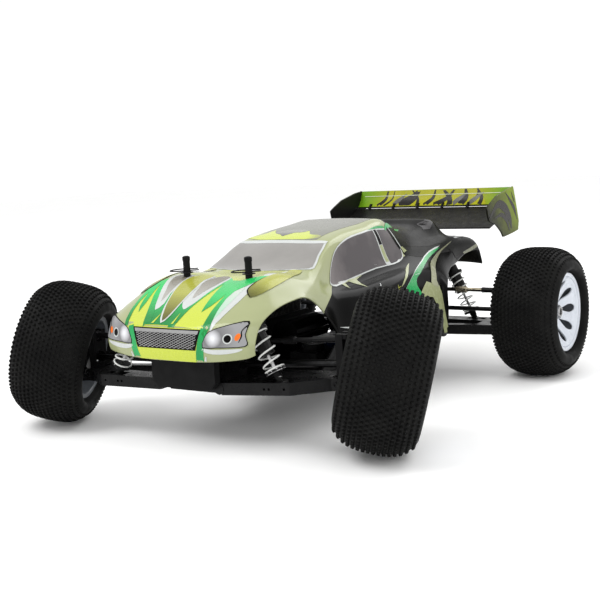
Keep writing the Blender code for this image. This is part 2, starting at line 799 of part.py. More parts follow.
# Stations from the lower front lip over the bonnet, cab and rear deck to the tail.
# Each runs from the centre plane out to the shell's edge: chin or bonnet centre, inner,
# post line, crest, shoulder, belt, flank, edge.
BODY_STATIONS = [
    # lower lip
    [(0, -0.2655, 0.0850), (0.018, -0.2655, 0.0850), (0.036, -0.2650, 0.0855), (0.050, -0.2635, 0.0862),
     (0.062, -0.2610, 0.0872), (0.072, -0.2580, 0.0882),
     (0.080, -0.2545, 0.0895), (0.0845, -0.2500, 0.0915)],
    # bottom of the lamps and grille
    [(0, -0.2680, 0.0965), (0.018, -0.2680, 0.0965), (0.0345, -0.2675, 0.0965), (0.050, -0.2655, 0.0970),
     (0.062, -0.2630, 0.0975), (0.072, -0.2600, 0.0985),
     (0.080, -0.2560, 0.0995), (0.0850, -0.2500, 0.1010)],
    # top of the lamps and grille
    [(0, -0.2665, 0.1137), (0.018, -0.2665, 0.1137), (0.0385, -0.2655, 0.1135), (0.050, -0.2630, 0.1145),
     (0.062, -0.2590, 0.1160), (0.072, -0.2545, 0.1165),
     (0.0795, -0.2500, 0.1160), (0.0850, -0.2435, 0.1130)],
    # leading edge of the bonnet
    [(0, -0.2600, 0.1200), (0.018, -0.2600, 0.1200), (0.038, -0.2590, 0.1200), (0.050, -0.2555, 0.1220),
     (0.062, -0.2500, 0.1240), (0.072, -0.2440, 0.1240),
     (0.0795, -0.2385, 0.1225), (0.0850, -0.2320, 0.1210)],
    [(0, -0.2400, 0.1315), (0.018, -0.2400, 0.1315), (0.037, -0.2390, 0.1315), (0.052, -0.2370, 0.1330),
     (0.063, -0.2330, 0.1330), (0.072, -0.2280, 0.1315),
     (0.0795, -0.2210, 0.1295), (0.0850, -0.2120, 0.1274)],
    [(0, -0.2120, 0.1420), (0.018, -0.2120, 0.1420), (0.036, -0.2115, 0.1430), (0.052, -0.2110, 0.1450),
     (0.062, -0.2090, 0.1445), (0.071, -0.2050, 0.1400),
     (0.0785, -0.1990, 0.1345), (0.0850, -0.1890, 0.1303)],
    [(0, -0.1780, 0.1485), (0.018, -0.1780, 0.1490), (0.036, -0.1780, 0.1505), (0.052, -0.1770, 0.1515),
     (0.063, -0.1750, 0.1495), (0.0715, -0.1730, 0.1430),
     (0.0785, -0.1700, 0.1365), (0.0850, -0.1680, 0.1298)],
    # foot of the windshield
    [(0, -0.1330, 0.1500), (0.018, -0.1325, 0.1500), (0.037, -0.1310, 0.1498), (0.0565, -0.1296, 0.1485),
     (0.0660, -0.1300, 0.1450), (0.0730, -0.1340, 0.1385),
     (0.0790, -0.1400, 0.1300), (0.0850, -0.1480, 0.1190)],
    # head of the windshield
    [(0, -0.0850, 0.1715), (0.018, -0.0845, 0.1713), (0.036, -0.0830, 0.1706), (0.0546, -0.0813, 0.1690),
     (0.0600, -0.0840, 0.1600), (0.0660, -0.0950, 0.1330),
     (0.0780, -0.1080, 0.1200), (0.0860, -0.1250, 0.0960)],
    [(0, -0.0500, 0.1800), (0.018, -0.0500, 0.1798), (0.036, -0.0500, 0.1788), (0.0520, -0.0500, 0.1755),
     (0.0590, -0.0500, 0.1640), (0.0665, -0.0550, 0.1310),
     (0.0850, -0.0750, 0.1150), (0.0920, -0.1030, 0.0600)],
    # middle of the roof
    [(0, 0.000, 0.1845), (0.018, 0.000, 0.1843), (0.036, 0.000, 0.1833), (0.0510, 0.000, 0.1800),
     (0.0585, 0.000, 0.1700), (0.0670, 0.000, 0.1350), (0.0900, -0.010, 0.1180), (0.0970, -0.020, 0.0550)],
    # back of the roof
    [(0, 0.043, 0.1855), (0.018, 0.043, 0.1853), (0.034, 0.043, 0.1847), (0.0470, 0.042, 0.1830),
     (0.0565, 0.044, 0.1690), (0.0670, 0.050, 0.1395), (0.0880, 0.055, 0.1180), (0.1000, 0.060, 0.0535)],
    [(0, 0.080, 0.1740), (0.018, 0.080, 0.1740), (0.034, 0.081, 0.1735), (0.0440, 0.082, 0.1705),
     (0.0550, 0.085, 0.1550), (0.0650, 0.085, 0.1420), (0.0890, 0.088, 0.1150), (0.1000, 0.090, 0.0540)],
    [(0, 0.115, 0.1680), (0.018, 0.115, 0.1680), (0.034, 0.114, 0.1670), (0.0440, 0.113, 0.1635),
     (0.0560, 0.110, 0.1520), (0.0650, 0.108, 0.1445), (0.0850, 0.104, 0.1200), (0.0985, 0.097, 0.1000)],
    [(0, 0.145, 0.1690), (0.018, 0.145, 0.1690), (0.034, 0.145, 0.1680), (0.0445, 0.145, 0.1640),
     (0.0560, 0.145, 0.1530), (0.0645, 0.145, 0.1480), (0.0750, 0.143, 0.1300), (0.0810, 0.140, 0.1160)],
    # top of the hump
    [(0, 0.168, 0.1745), (0.018, 0.168, 0.1745), (0.034, 0.168, 0.1740), (0.0455, 0.169, 0.1720),
     (0.0560, 0.171, 0.1560), (0.0640, 0.172, 0.1500), (0.0710, 0.171, 0.1360), (0.0735, 0.168, 0.1190)],
    [(0, 0.189, 0.1560), (0.018, 0.189, 0.1560), (0.034, 0.189, 0.1558), (0.0450, 0.189, 0.1550),
     (0.0560, 0.189, 0.1520), (0.0640, 0.189, 0.1495), (0.0695, 0.187, 0.1390), (0.0710, 0.185, 0.1225)],
    [(0, 0.207, 0.1500), (0.018, 0.207, 0.1500), (0.034, 0.207, 0.1500), (0.0450, 0.207, 0.1495),
     (0.0560, 0.207, 0.1490), (0.0640, 0.207, 0.1475), (0.0690, 0.207, 0.1400), (0.0700, 0.206, 0.1282)],
    [(0, 0.234, 0.1475), (0.018, 0.234, 0.1475), (0.034, 0.234, 0.1475), (0.0450, 0.234, 0.1472),
     (0.0560, 0.234, 0.1465), (0.0640, 0.233, 0.1450), (0.0690, 0.231, 0.1390), (0.0700, 0.228, 0.1300)],
    [(0, 0.249, 0.1400), (0.018, 0.249, 0.1400), (0.034, 0.249, 0.1400), (0.0450, 0.249, 0.1398),
     (0.0560, 0.249, 0.1390), (0.0640, 0.248, 0.1370), (0.0690, 0.247, 0.1330), (0.0700, 0.2455, 0.1275)],
    # lower edge of the tail
    [(0, 0.2585, 0.1130), (0.018, 0.2585, 0.1130), (0.034, 0.2585, 0.1130), (0.0450, 0.2583, 0.1128),
     (0.0560, 0.2580, 0.1122), (0.0640, 0.2577, 0.1115),
     (0.0690, 0.2575, 0.1110), (0.0700, 0.2570, 0.1105)],
]


def make_body_shell():
    bm = bmesh.new()
    rows = []
    for station in BODY_STATIONS:
        full = [(-x, y, z) for x, y, z in reversed(station[1:])] + station
        rows.append([bm.verts.new(point) for point in full])
    for low, high in zip(rows, rows[1:]):
        for i in range(len(low) - 1):
            bm.faces.new((low[i], low[i + 1], high[i + 1], high[i]))
    sheet = bpy.data.meshes.new("sheet")
    bm.to_mesh(sheet)
    bm.free()
    thick = bpy.data.objects.new("sheet", sheet)
    bpy.context.scene.collection.objects.link(thick)
    wall = thick.modifiers.new("wall", "SOLIDIFY")
    wall.thickness = BODY_SKIN
    wall.offset = -1
    wall.use_even_offset = False
    graph = bpy.context.evaluated_depsgraph_get()
    shell = bpy.data.meshes.new_from_object(thick.evaluated_get(graph))
    bpy.data.objects.remove(thick)
    cuts = [box(-0.0240, 0.0240, 0.1860, 0.2420, 0.1380, 0.1800)]
    for x in (POST_X, -POST_X):
        cuts.append(rod((x, POST_Y, 0.1350), (x, POST_Y, 0.1700), 0.0052, 10))
    add_part("body_shell", fuse([shell], cuts), painted_shell())


def make_wing_mount():
    """Two struts from the rear tower up to the wing, joined by a cross bar."""
    start = REAR_AXLE_Y + TOWER_FACE + TOWER_THICKNESS + GAP
    profile = [(start, 0.0940), (start + 0.0060, 0.0940), (0.2180, 0.1350), (0.2420, 0.1640)]
    profile += [(0.2160, 0.1585), (0.1980, 0.1380), (start, 0.1130)]
    solids = [slab(profile, x, x + 0.0030, "x") for x in (0.0150, -0.0180)]
    solids.append(rod((-0.0170, 0.2080, 0.1380), (0.0170, 0.2080, 0.1380), 0.0030, 10))
    add_part("wing_mount", fuse(solids), black_nylon())


def make_rear_wing():
    """Main plane and steep flap between two end plates, tied by short ribs."""
    half = 0.1084
    plate_skin = 0.0022
    plate_outline = [
        (0.1900, 0.1850),
        (0.1930, 0.1680),
        (0.2128, 0.1632),
        (0.2280, 0.1538),
        (0.2360, 0.1460),
        (0.2826, 0.1500),
        (0.2850, 0.1600),
        (0.2715, 0.2048),
        (0.2524, 0.2034),
        (0.2200, 0.1970),
    ]
    plane = [(0.1980, 0.1600), (0.2250, 0.1660), (0.2560, 0.1790), (0.2550, 0.1815)]
    plane += [(0.2230, 0.1690), (0.1975, 0.1630)]
    flap = [(0.2585, 0.1835), (0.2660, 0.1900), (0.2735, 0.2035), (0.2705, 0.2040)]
    flap += [(0.2635, 0.1920), (0.2570, 0.1855)]
    solids = [slab(plane, -half + 0.001, half - 0.001, "x")]
    solids.append(slab(flap, -half + 0.001, half - 0.001, "x"))
    for x in (half - plate_skin, -half):
        solids.append(slab(plate_outline, x, x + plate_skin, "x"))
    for i in range(5):
        x = (i - 2) * 0.038
        rib = [(0.2520, 0.1790), (0.2555, 0.1790), (0.2600, 0.1862), (0.2580, 0.1862)]
        solids.append(slab(rib, x - 0.0010, x + 0.0010, "x"))
    add_part("rear_wing", fuse(solids), wing_plastic())


def main():
    clear_scene()
    make_chassis_plate()
    make_mud_guard_tray()
    make_front_bumper()
    make_gearboxes()
    make_front_tower()
    make_rear_tower()
    make_electronics()
    make_motor()
    make_gears()
    make_driveshafts()
    make_steering_link()
    make_servo_saver()
    make_tie_rod("left", 1)
    make_tie_rod("right", -1)
    for name in CORNERS:
        make_corner(name)
    make_body_shell()
    make_wing_mount()
    make_rear_wing()


main()
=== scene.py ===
"""The looks of the RC truggy: painted shell, studded tyres, wing, shocks and small hardware."""

from math import atan2, cos, hypot, pi, radians, sin, tau

import bmesh
import bpy
from mathutils import Matrix, Vector
from mathutils.bvhtree import BVHTree
from mathutils.geometry import delaunay_2d_cdt


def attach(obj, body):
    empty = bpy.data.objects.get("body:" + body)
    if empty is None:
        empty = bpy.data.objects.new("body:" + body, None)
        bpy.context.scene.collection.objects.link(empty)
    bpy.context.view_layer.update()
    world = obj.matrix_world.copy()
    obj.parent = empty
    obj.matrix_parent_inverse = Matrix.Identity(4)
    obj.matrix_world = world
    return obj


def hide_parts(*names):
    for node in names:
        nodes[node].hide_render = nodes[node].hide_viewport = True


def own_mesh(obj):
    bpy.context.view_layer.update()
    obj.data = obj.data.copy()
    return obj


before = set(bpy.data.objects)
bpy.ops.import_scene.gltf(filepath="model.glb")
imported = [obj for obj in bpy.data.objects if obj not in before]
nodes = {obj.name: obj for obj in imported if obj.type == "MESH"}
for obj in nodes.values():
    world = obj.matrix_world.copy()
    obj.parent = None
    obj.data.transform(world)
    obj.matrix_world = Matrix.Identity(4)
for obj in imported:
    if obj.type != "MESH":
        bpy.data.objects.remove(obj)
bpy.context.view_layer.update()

# ---------------------------------------------------------------- the car's main places

WHEEL_Z = 0.071
FRONT_Y = -0.205
REAR_Y = 0.152
KINGPIN_X = 0.163
WHEEL_OFFSET = 0.022
ARM_INNER_X = 0.034
UPPER_LINK_Z = 0.093
STEER = radians(29)
CASTER = radians(30)
KINGPIN_AXIS = Vector((0, sin(CASTER), cos(CASTER)))
ARM_LENGTH = 0.1115
# side, axle, towards the nearer end, steering angle, how far the arm has swung up
CORNERS = {
    "front_left": (1, FRONT_Y, -1, STEER, radians(4.1)),
    "front_right": (-1, FRONT_Y, -1, STEER, radians(-1.4)),
    "rear_left": (1, REAR_Y, 1, 0.0, 0.0),
    "rear_right": (-1, REAR_Y, 1, 0.0, 0.0),
}
ARM_Z = {"front": 0.056, "rear": 0.05}
SHOCK_TOP = {"front": (0.066, 0.12), "rear": (0.064, 0.119)}
SHOCK_FOOT = {"front": (0.0965, 0.0575), "rear": (0.0965, 0.0515)}
SHOCK_OFFSET = 0.0242
POSTS = ((0.0366, -0.1877), (-0.0366, -0.1877))
POST_TOP = 0.168
POST_HOLE_RADIUS = 0.0052
POST_HOLE_LOW = 0.13
BONNET_Z = 0.153
WING_HALF = 0.1084
WING_SLOT = (0.0235, 0.187, 0.241)
SHELL_THICKNESS = 0.0011


def mm(*points):
    """Points given in millimetres, as a list of points in metres."""
    return [tuple(value / 1000 for value in point) for point in points]


# ---------------------------------------------------------------- materials


class Nodes:
    """A short way to write a material's node tree."""

    def __init__(self, name, roughness=0.5, metallic=0.0, coat=0.0, coat_roughness=0.05, specular=0.5):
        self.material = bpy.data.materials.new(name)
        self.material.use_nodes = True
        self.tree = self.material.node_tree
        self.shader = self.tree.nodes["Principled BSDF"]
        self.shader.inputs["Roughness"].default_value = roughness
        self.shader.inputs["Metallic"].default_value = metallic
        self.shader.inputs["Coat Weight"].default_value = coat
        self.shader.inputs["Coat Roughness"].default_value = coat_roughness
        self.shader.inputs["Specular IOR Level"].default_value = specular
        self.place = self.add("TexCoord").outputs["Object"]

    def add(self, kind, **settings):
        node = self.tree.nodes.new("ShaderNode" + kind)
        for key, value in settings.items():
            setattr(node, key, value)
        return node

    def link(self, output, target):
        self.tree.links.new(output, target)

    def give(self, socket, value):
        """Put a number, a colour or another node's output into a socket."""
        if isinstance(value, (int, float)):
            socket.default_value = value
        elif isinstance(value, tuple):
            socket.default_value = (*value, 1.0)
        else:
            self.link(value, socket)

    def noise(self, scale, detail=4.0):
        node = self.add("TexNoise")
        node.inputs["Scale"].default_value = scale
        node.inputs["Detail"].default_value = detail
        self.link(self.place, node.inputs["Vector"])
        return node.outputs["Fac"]

    def ramp(self, value, stops):
        node = self.add("ValToRGB")
        ramp = node.color_ramp
        while len(ramp.elements) < len(stops):
            ramp.elements.new(0.5)
        for element, (position, colour) in zip(ramp.elements, stops):
            element.position = position
            element.color = (*colour, 1.0)
        self.link(value, node.inputs["Fac"])
        return node.outputs["Color"]

    def spread(self, value, low, high, to_low=0.0, to_high=1.0):
        node = self.add("MapRange")
        limits = {"From Min": low, "From Max": high, "To Min": to_low, "To Max": to_high}
        for key, number in limits.items():
            node.inputs[key].default_value = number
        self.link(value, node.inputs["Value"])
        return node.outputs["Result"]

    def math(self, operation, a, b=0.0):
        node = self.add("Math", operation=operation)
        self.give(node.inputs[0], a)
        self.give(node.inputs[1], b)
        return node.outputs["Value"]

    def wobble(self, noise, amount):
        """A noise made to swing evenly about zero."""
        return self.math("MULTIPLY", self.math("SUBTRACT", noise, 0.5), amount)

    def axis(self, name):
        node = self.add("SeparateXYZ")
        self.link(self.place, node.inputs["Vector"])
        return node.outputs[name]

    def mix(self, factor, a, b):
        node = self.add("Mix", data_type="RGBA")
        self.link(factor, node.inputs["Factor"])
        self.give(node.inputs["A"], a)
        self.give(node.inputs["B"], b)
        return node.outputs["Result"]

    def colour(self, output):
        self.link(output, self.shader.inputs["Base Color"])

    def roughness(self, noise, low, high):
        self.link(self.spread(noise, 0.3, 0.7, low, high), self.shader.inputs["Roughness"])

    def specular(self, output):
        self.link(output, self.shader.inputs["Specular IOR Level"])

    def bump(self, height, strength, distance):
        node = self.add("Bump")
        node.inputs["Strength"].default_value = strength
        node.inputs["Distance"].default_value = distance
        self.link(height, node.inputs["Height"])
        self.link(node.outputs["Normal"], self.shader.inputs["Normal"])


def paint(name, light, dark, axis=None, start=0.0, end=1.0, roughness=0.26, gloss=0.5, wander=0.35):
    """Sprayed paint under a clear film: it fades along an axis, dark at start and light at end."""
    n = Nodes(name, roughness, coat=0.25 * gloss, coat_roughness=0.1, specular=gloss * 0.5)
    mottle = n.noise(38)
    if axis:
        along = n.spread(n.axis(axis), start, end)
        n.colour(n.ramp(n.math("ADD", along, n.wobble(mottle, wander)), [(0.0, dark), (1.0, light)]))
    else:
        n.colour(n.ramp(mottle, [(0.25, dark), (0.75, light)]))
    n.roughness(n.noise(220, 3), roughness - 0.04, roughness + 0.05)
    n.bump(n.noise(900, 2), 0.03, 0.0001)
    return n.material


def glowing_lamp(name, centre):
    """Airbrushed lamp: white at its middle, grey all round."""
    n = Nodes(name, 0.25, coat=0.3)
    far = n.add("VectorMath", operation="DISTANCE")
    n.link(n.place, far.inputs[0])
    far.inputs[1].default_value = centre
    reach = n.spread(n.math("ADD", far.outputs["Value"], n.wobble(n.noise(160, 3), 0.002)), 0.0016, 0.022)
    white, pale, dark, rim = (0.66, 0.67, 0.69), (0.46, 0.46, 0.48), (0.14, 0.14, 0.145), (0.24, 0.24, 0.245)
    n.colour(n.ramp(reach, [(0.0, white), (0.14, pale), (0.33, dark), (1.0, rim)]))
    return n.material


def moulded(name, base, worn, roughness=0.45, grain=1400, strength=0.25, specular=0.5):
    """Moulded plastic with a fine grain and a little dust."""
    n = Nodes(name, roughness, specular=specular)
    n.colour(n.ramp(n.noise(60, 6), [(0.35, base), (0.75, worn)]))
    n.roughness(n.noise(160), roughness - 0.08, roughness + 0.1)
    n.bump(n.noise(grain, 3), strength, 0.0002)
    return n.material


def metal(name, base, worn, roughness=0.25):
    n = Nodes(name, roughness, metallic=1.0)
    fine = n.noise(400)
    n.colour(n.ramp(fine, [(0.3, worn), (0.7, base)]))
    n.roughness(fine, roughness + 0.08, roughness - 0.05)
    n.bump(fine, 0.08, 0.0001)
    return n.material


# key, light, dark, then the axis it fades along, where it is dark and where it is light
PAINTS = (
    ("beige", (0.318, 0.342, 0.18), (0.3, 0.325, 0.168)),
    ("lime", (0.47, 0.54, 0.055), (0.34, 0.37, 0.09), "Y", -0.172, -0.196),
    ("green", (0.02, 0.46, 0.105), (0.004, 0.19, 0.035), "Y", -0.258, -0.226),
    ("green_side", (0.012, 0.33, 0.085), (0.006, 0.2, 0.048)),
    ("pale", (0.52, 0.54, 0.53), (0.46, 0.48, 0.47)),
    ("mint", (0.36, 0.56, 0.42), (0.48, 0.54, 0.48), "Y", -0.222, -0.246),
    ("gold", (0.33, 0.34, 0.045), (0.075, 0.07, 0.01), "Y", -0.259, -0.222),
    ("gold_scoop", (0.34, 0.35, 0.055), (0.07, 0.07, 0.012), "Y", -0.224, -0.196),
    ("grey", (0.34, 0.33, 0.3), (0.13, 0.115, 0.08), "Y", -0.186, -0.226),
    ("roof_notch", (0.22, 0.222, 0.195), (0.085, 0.085, 0.082), "Y", -0.067, -0.054),
    ("lime_roof", (0.48, 0.55, 0.08), (0.22, 0.22, 0.14), "X", 0.04, 0.026),
    ("beige_strip", (0.33, 0.34, 0.215), (0.18, 0.185, 0.115), "Y", 0.11, 0.075),
)
mat = {
    "roof": paint("paint_roof", (0.225, 0.228, 0.2), (0.205, 0.206, 0.185), roughness=0.3, gloss=0.2),
    "black": paint("paint_black", (0.0035, 0.0035, 0.0032), (0.0022, 0.0022, 0.0022), gloss=0.1),
    "inside": paint("shell_inside", (0.01, 0.01, 0.009), (0.09, 0.088, 0.055), "Y", -0.1, -0.05, gloss=0.1),
    "deck": paint("paint_deck", (0.024, 0.024, 0.023), (0.01, 0.01, 0.01), gloss=0.06, roughness=0.3),
    # lighter grey on the dark deck: painted highlights, a reflection on the deck top and a sheen on the side
    "deck_highlight": paint("paint_deck_highlight", (0.085, 0.083, 0.085), (0.05, 0.048, 0.05), gloss=0.15),
    "screen": paint("smoked_screen", (0.255, 0.245, 0.232), (0.215, 0.208, 0.196), roughness=0.2),
    "side_glass": paint("smoked_side_glass", (0.15, 0.132, 0.132), (0.06, 0.052, 0.055), "Y", -0.05, -0.088,
                        roughness=0.16, wander=1.6),
    "lamp": glowing_lamp("lamp_left", (0.0505, -0.264, 0.1072)),
    "lamp_right": glowing_lamp("lamp_right", (-0.0505, -0.264, 0.1072)),
    "orange": paint("indicator_orange", (0.8, 0.17, 0.012), (0.68, 0.12, 0.01)),
    "chrome_print": paint("printed_silver", (0.3, 0.3, 0.3), (0.22, 0.22, 0.22)),
    "nylon": moulded("black_nylon", (0.005, 0.005, 0.0052), (0.009, 0.009, 0.0092), specular=0.07),
    "nylon_gloss": moulded("black_nylon_gloss", (0.0045, 0.0045, 0.0047), (0.008, 0.008, 0.0082), 0.3,
                           specular=0.11),
    "rim": moulded("white_rim", (0.58, 0.61, 0.66), (0.53, 0.56, 0.61), 0.3, 900, 0.05),
    # dark grey for the barrel inside the white rim: painted shade for the inside of the wheel
    "shaded_rim_well": moulded("rim_barrel_painted_shade", (0.13, 0.14, 0.155), (0.1, 0.11, 0.125), 0.4, 900, 0.05),
    "spring": moulded("spring_coating", (0.7, 0.71, 0.69), (0.6, 0.61, 0.59), 0.25, 900, 0.08),
    "steel": metal("bright_steel", (0.4, 0.4, 0.4), (0.22, 0.22, 0.22)),
    "brass": metal("brass_turnbuckle", (0.5, 0.45, 0.33), (0.3, 0.26, 0.18)),
    "dark_alloy": metal("dark_alloy", (0.022, 0.022, 0.023), (0.012, 0.012, 0.012), 0.42),
    "battery": moulded("battery_wrap", (0.01, 0.02, 0.06), (0.018, 0.03, 0.08), 0.32, specular=0.3),
    "wing_dark": moulded("wing_plane_black", (0.004, 0.004, 0.004), (0.012, 0.011, 0.01), 0.3, specular=0.06),
    "wing_yellow": paint("wing_yellow", (0.36, 0.35, 0.008), (0.3, 0.3, 0.007), gloss=0.2),
    "wing_black": paint("wing_black", (0.018, 0.016, 0.013), (0.01, 0.009, 0.008), gloss=0.25),
    "wing_grey": paint("wing_grey", (0.13, 0.13, 0.11), (0.08, 0.08, 0.07), gloss=0.3),
    "wing_line": paint("wing_line", (0.62, 0.66, 0.48), (0.52, 0.56, 0.38), gloss=0.2),
    "steel_dark": metal("clip_wire", (0.02, 0.02, 0.02), (0.012, 0.012, 0.012), 0.35),
}
for key, *colours in PAINTS:
    mat[key] = paint(f"paint_{key}", *colours)


def rubber():
    n = Nodes("tyre_rubber", 0.62, specular=0.08)
    n.colour(n.ramp(n.noise(45, 6), [(0.3, (0.0035, 0.0035, 0.0035)), (0.75, (0.0085, 0.0085, 0.008))]))
    n.roughness(n.noise(120, 5), 0.5, 0.72)
    n.bump(n.noise(700), 0.25, 0.0003)
    return n.material


def shell_paint():
    """Beige front and pillars, black lower flanks and tail, with a wavering border."""
    flank_top, flank_rise = 0.1372, 0.075
    flank_start, flank_lean, lean_from = -0.1385, 2.45, 0.112
    tail_start, tail_lean, roof_z = 0.054, 0.35, 0.165
    n = Nodes("shell_two_tone", 0.16)
    y = n.math("ADD", n.axis("Y"), n.wobble(n.noise(38), 0.0008))
    z = n.axis("Z")
    low = n.math("LESS_THAN", n.math("SUBTRACT", z, n.math("MULTIPLY", y, flank_rise)), flank_top)
    above = n.math("MAXIMUM", n.math("SUBTRACT", z, lean_from), 0.0)
    border = n.math("SUBTRACT", y, n.math("MULTIPLY", above, flank_lean))
    flank = n.math("MULTIPLY", low, n.math("GREATER_THAN", border, flank_start))
    below_roof = n.math("MULTIPLY", n.math("SUBTRACT", roof_z, z), tail_lean)
    tail = n.math("GREATER_THAN", y, n.math("ADD", tail_start, below_roof))
    dark = n.math("MAXIMUM", flank, tail)
    beige = n.ramp(n.noise(30), [(0.3, (0.3, 0.325, 0.168)), (0.7, (0.318, 0.342, 0.18))])
    black = n.ramp(n.noise(30), [(0.3, (0.0022, 0.0022, 0.0022)), (0.7, (0.0038, 0.0038, 0.0036))])
    n.colour(n.mix(dark, beige, black))
    n.specular(n.spread(dark, 0.0, 1.0, 0.32, 0.045))
    n.bump(n.noise(900, 2), 0.03, 0.0001)
    return n.material


def damper_shaft():
    """Bright rod above, black plastic eye and neck below."""
    n = Nodes("damper_shaft", 0.25)
    high = n.spread(n.axis("Z"), 0.0695, 0.07)
    rod = n.ramp(n.noise(90), [(0.3, (0.42, 0.42, 0.42)), (0.7, (0.3, 0.3, 0.3))])
    n.colour(n.mix(high, (0.006, 0.006, 0.006), rod))
    n.link(high, n.shader.inputs["Metallic"])
    n.specular(n.spread(high, 0.0, 1.0, 0.08, 0.5))
    return n.material


def wing_flap_green():
    """Yellow-green film, greener towards both ends."""
    n = Nodes("wing_flap_green", 0.35, specular=0.12)
    side = n.spread(n.math("ABSOLUTE", n.axis("X")), 0.06, 0.1)
    n.colour(n.mix(side, (0.3, 0.32, 0.006), (0.13, 0.29, 0.008)))
    n.bump(n.noise(900, 2), 0.05, 0.0002)
    return n.material


def wing_plate_olive():
    """End plates: airbrushed olive on the outer face, black on the inner one."""
    n = Nodes("wing_plate_olive", 0.4, specular=0.1)
    rise = n.spread(n.math("ADD", n.axis("Y"), n.axis("Z")), 0.37, 0.46)
    cloud = n.math("ADD", rise, n.wobble(n.noise(70), 0.6))
    low, middle, high = (0.012, 0.012, 0.009), (0.08, 0.095, 0.015), (0.17, 0.23, 0.014)
    olive = n.ramp(cloud, [(0.0, low), (0.5, middle), (1.0, high)])
    outer = n.spread(n.math("ABSOLUTE", n.axis("X")), WING_HALF - 0.0012, WING_HALF - 0.0008)
    n.colour(n.mix(outer, (0.006, 0.006, 0.006), olive))
    n.bump(n.noise(900, 2), 0.05, 0.0002)
    return n.material


for key, make in (
    ("rubber", rubber),
    ("shell", shell_paint),
    ("damper_shaft", damper_shaft),
    ("wing_flap", wing_flap_green),
    ("wing_plate", wing_plate_olive),
):
    mat[key] = make()


# ---------------------------------------------------------------- mesh helpers


def new_object(name, mesh, material, smooth):
    mesh.name = name
    mesh.materials.clear()
    mesh.materials.append(material)
    if smooth:
        mesh.shade_smooth()
        mesh.set_sharp_from_angle(angle=radians(smooth))
    made = bpy.data.objects.new(name, mesh)
    bpy.context.scene.collection.objects.link(made)
    return made


def new_piece(name, mesh, look, body, smooth=40):
    """A visible piece of the car with its material slot and the body it rides on."""
    made = new_object(name, mesh, mat[look], smooth)
    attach(made, body)
    return made


def mesh_from(bm, tidy=True):
    if tidy:
        bmesh.ops.recalc_face_normals(bm, faces=bm.faces)
    mesh = bpy.data.meshes.new("piece")
    bm.to_mesh(mesh)
    bm.free()
    return mesh


def modifier(made, kind, **settings):
    step = made.modifiers.new(kind.lower(), kind)
    for key, value in settings.items():
        setattr(step, key, value)


def bevel(made, width, segments=2):
    modifier(made, "BEVEL", width=width, segments=segments, limit_method="ANGLE", angle_limit=0.6)


def add_ring_faces(bm, rings):
    """Faces between each ring of corners and the next."""
    for low, high in zip(rings, rings[1:]):
        for i in range(len(low)):
            j = (i + 1) % len(low)
            bm.faces.new((low[i], low[j], high[j], high[i]))


def tube_mesh(bm, rings):
    """A closed tube through rings of corners."""
    add_ring_faces(bm, rings)
    bm.faces.new(rings[0][::-1])
    bm.faces.new(rings[-1])
    return mesh_from(bm)


def turned(bm, profile, sides, turn, place, close):
    """A profile of (distance along the axis, radius), turned about +X, then placed."""
    rings = []
    for along, radius in profile:
        ring = []
        for i in range(sides):
            a = tau * (i + 0.5) / sides
            ring.append(bm.verts.new(place @ (turn @ Vector((along, radius * cos(a), radius * sin(a))))))
        rings.append(ring)
    if close:
        rings.append(rings[0])
    add_ring_faces(bm, rings)
    if not close:
        bm.faces.new(rings[0][::-1])
        bm.faces.new(rings[-1])


def revolve(name, look, body, profile, start, direction, sides=24, close=False, smooth=35):
    """A turned piece: its profile is solid to the axis, or a closed ring round it."""
    bm = bmesh.new()
    turn = Vector(direction).to_track_quat("X", "Z").to_matrix().to_4x4()
    turned(bm, profile, sides, turn, Matrix.Translation(Vector(start)), close)
    return new_piece(name, mesh_from(bm), look, body, smooth)


def curve_at(a, b, c, d, t):
    """A smooth curve from b to c, t of the way along, that also heeds a before and d after."""
    return 0.5 * (2 * b + (c - a) * t + (2 * a - 5 * b + 4 * c - d) * t * t + (3 * b - a - 3 * c + d) * t**3)


def smooth_line(points, steps, closed=False):
    """Points on a smooth curve through the given ones."""
    result = []
    count = len(points)
    for i in range(count if closed else count - 1):
        if closed:
            near = [points[(i + k) % count] for k in (-1, 0, 1, 2)]
        else:
            near = [points[min(max(i + k, 0), count - 1)] for k in (-1, 0, 1, 2)]
        for s in range(steps):
            result.append(tuple(curve_at(*values, s / steps) for values in zip(*near)))
    if not closed:
        result.append(tuple(points[-1]))
    return result


def wire(name, look, body, line, radius):
    """A round bar along a line of points, with pointed ends."""
    sides = 8
    line = [Vector(p) for p in line]
    bm = bmesh.new()
    rings = []
    across = None
    for i, at in enumerate(line):
        along = (line[min(i + 1, len(line) - 1)] - line[max(i - 1, 0)]).normalized()
        if across:
            across = (across - along * across.dot(along)).normalized()
        else:
            across = along.orthogonal().normalized()
        other = along.cross(across)
        turns = [tau * k / sides for k in range(sides)]
        rings.append([bm.verts.new(at + radius * (across * cos(a) + other * sin(a))) for a in turns])
    for ring, at, step in (
        (rings[0], line[0], line[0] - line[1]),
        (rings[-1], line[-1], line[-1] - line[-2]),
    ):
        tip = bm.verts.new(at + step.normalized() * radius * 0.6)
        for i in range(sides):
            bm.faces.new((ring[i], ring[(i + 1) % sides], tip))
    add_ring_faces(bm, rings)
    return new_piece(name, mesh_from(bm), look, body, 60)


# ---------------------------------------------------------------- body shell

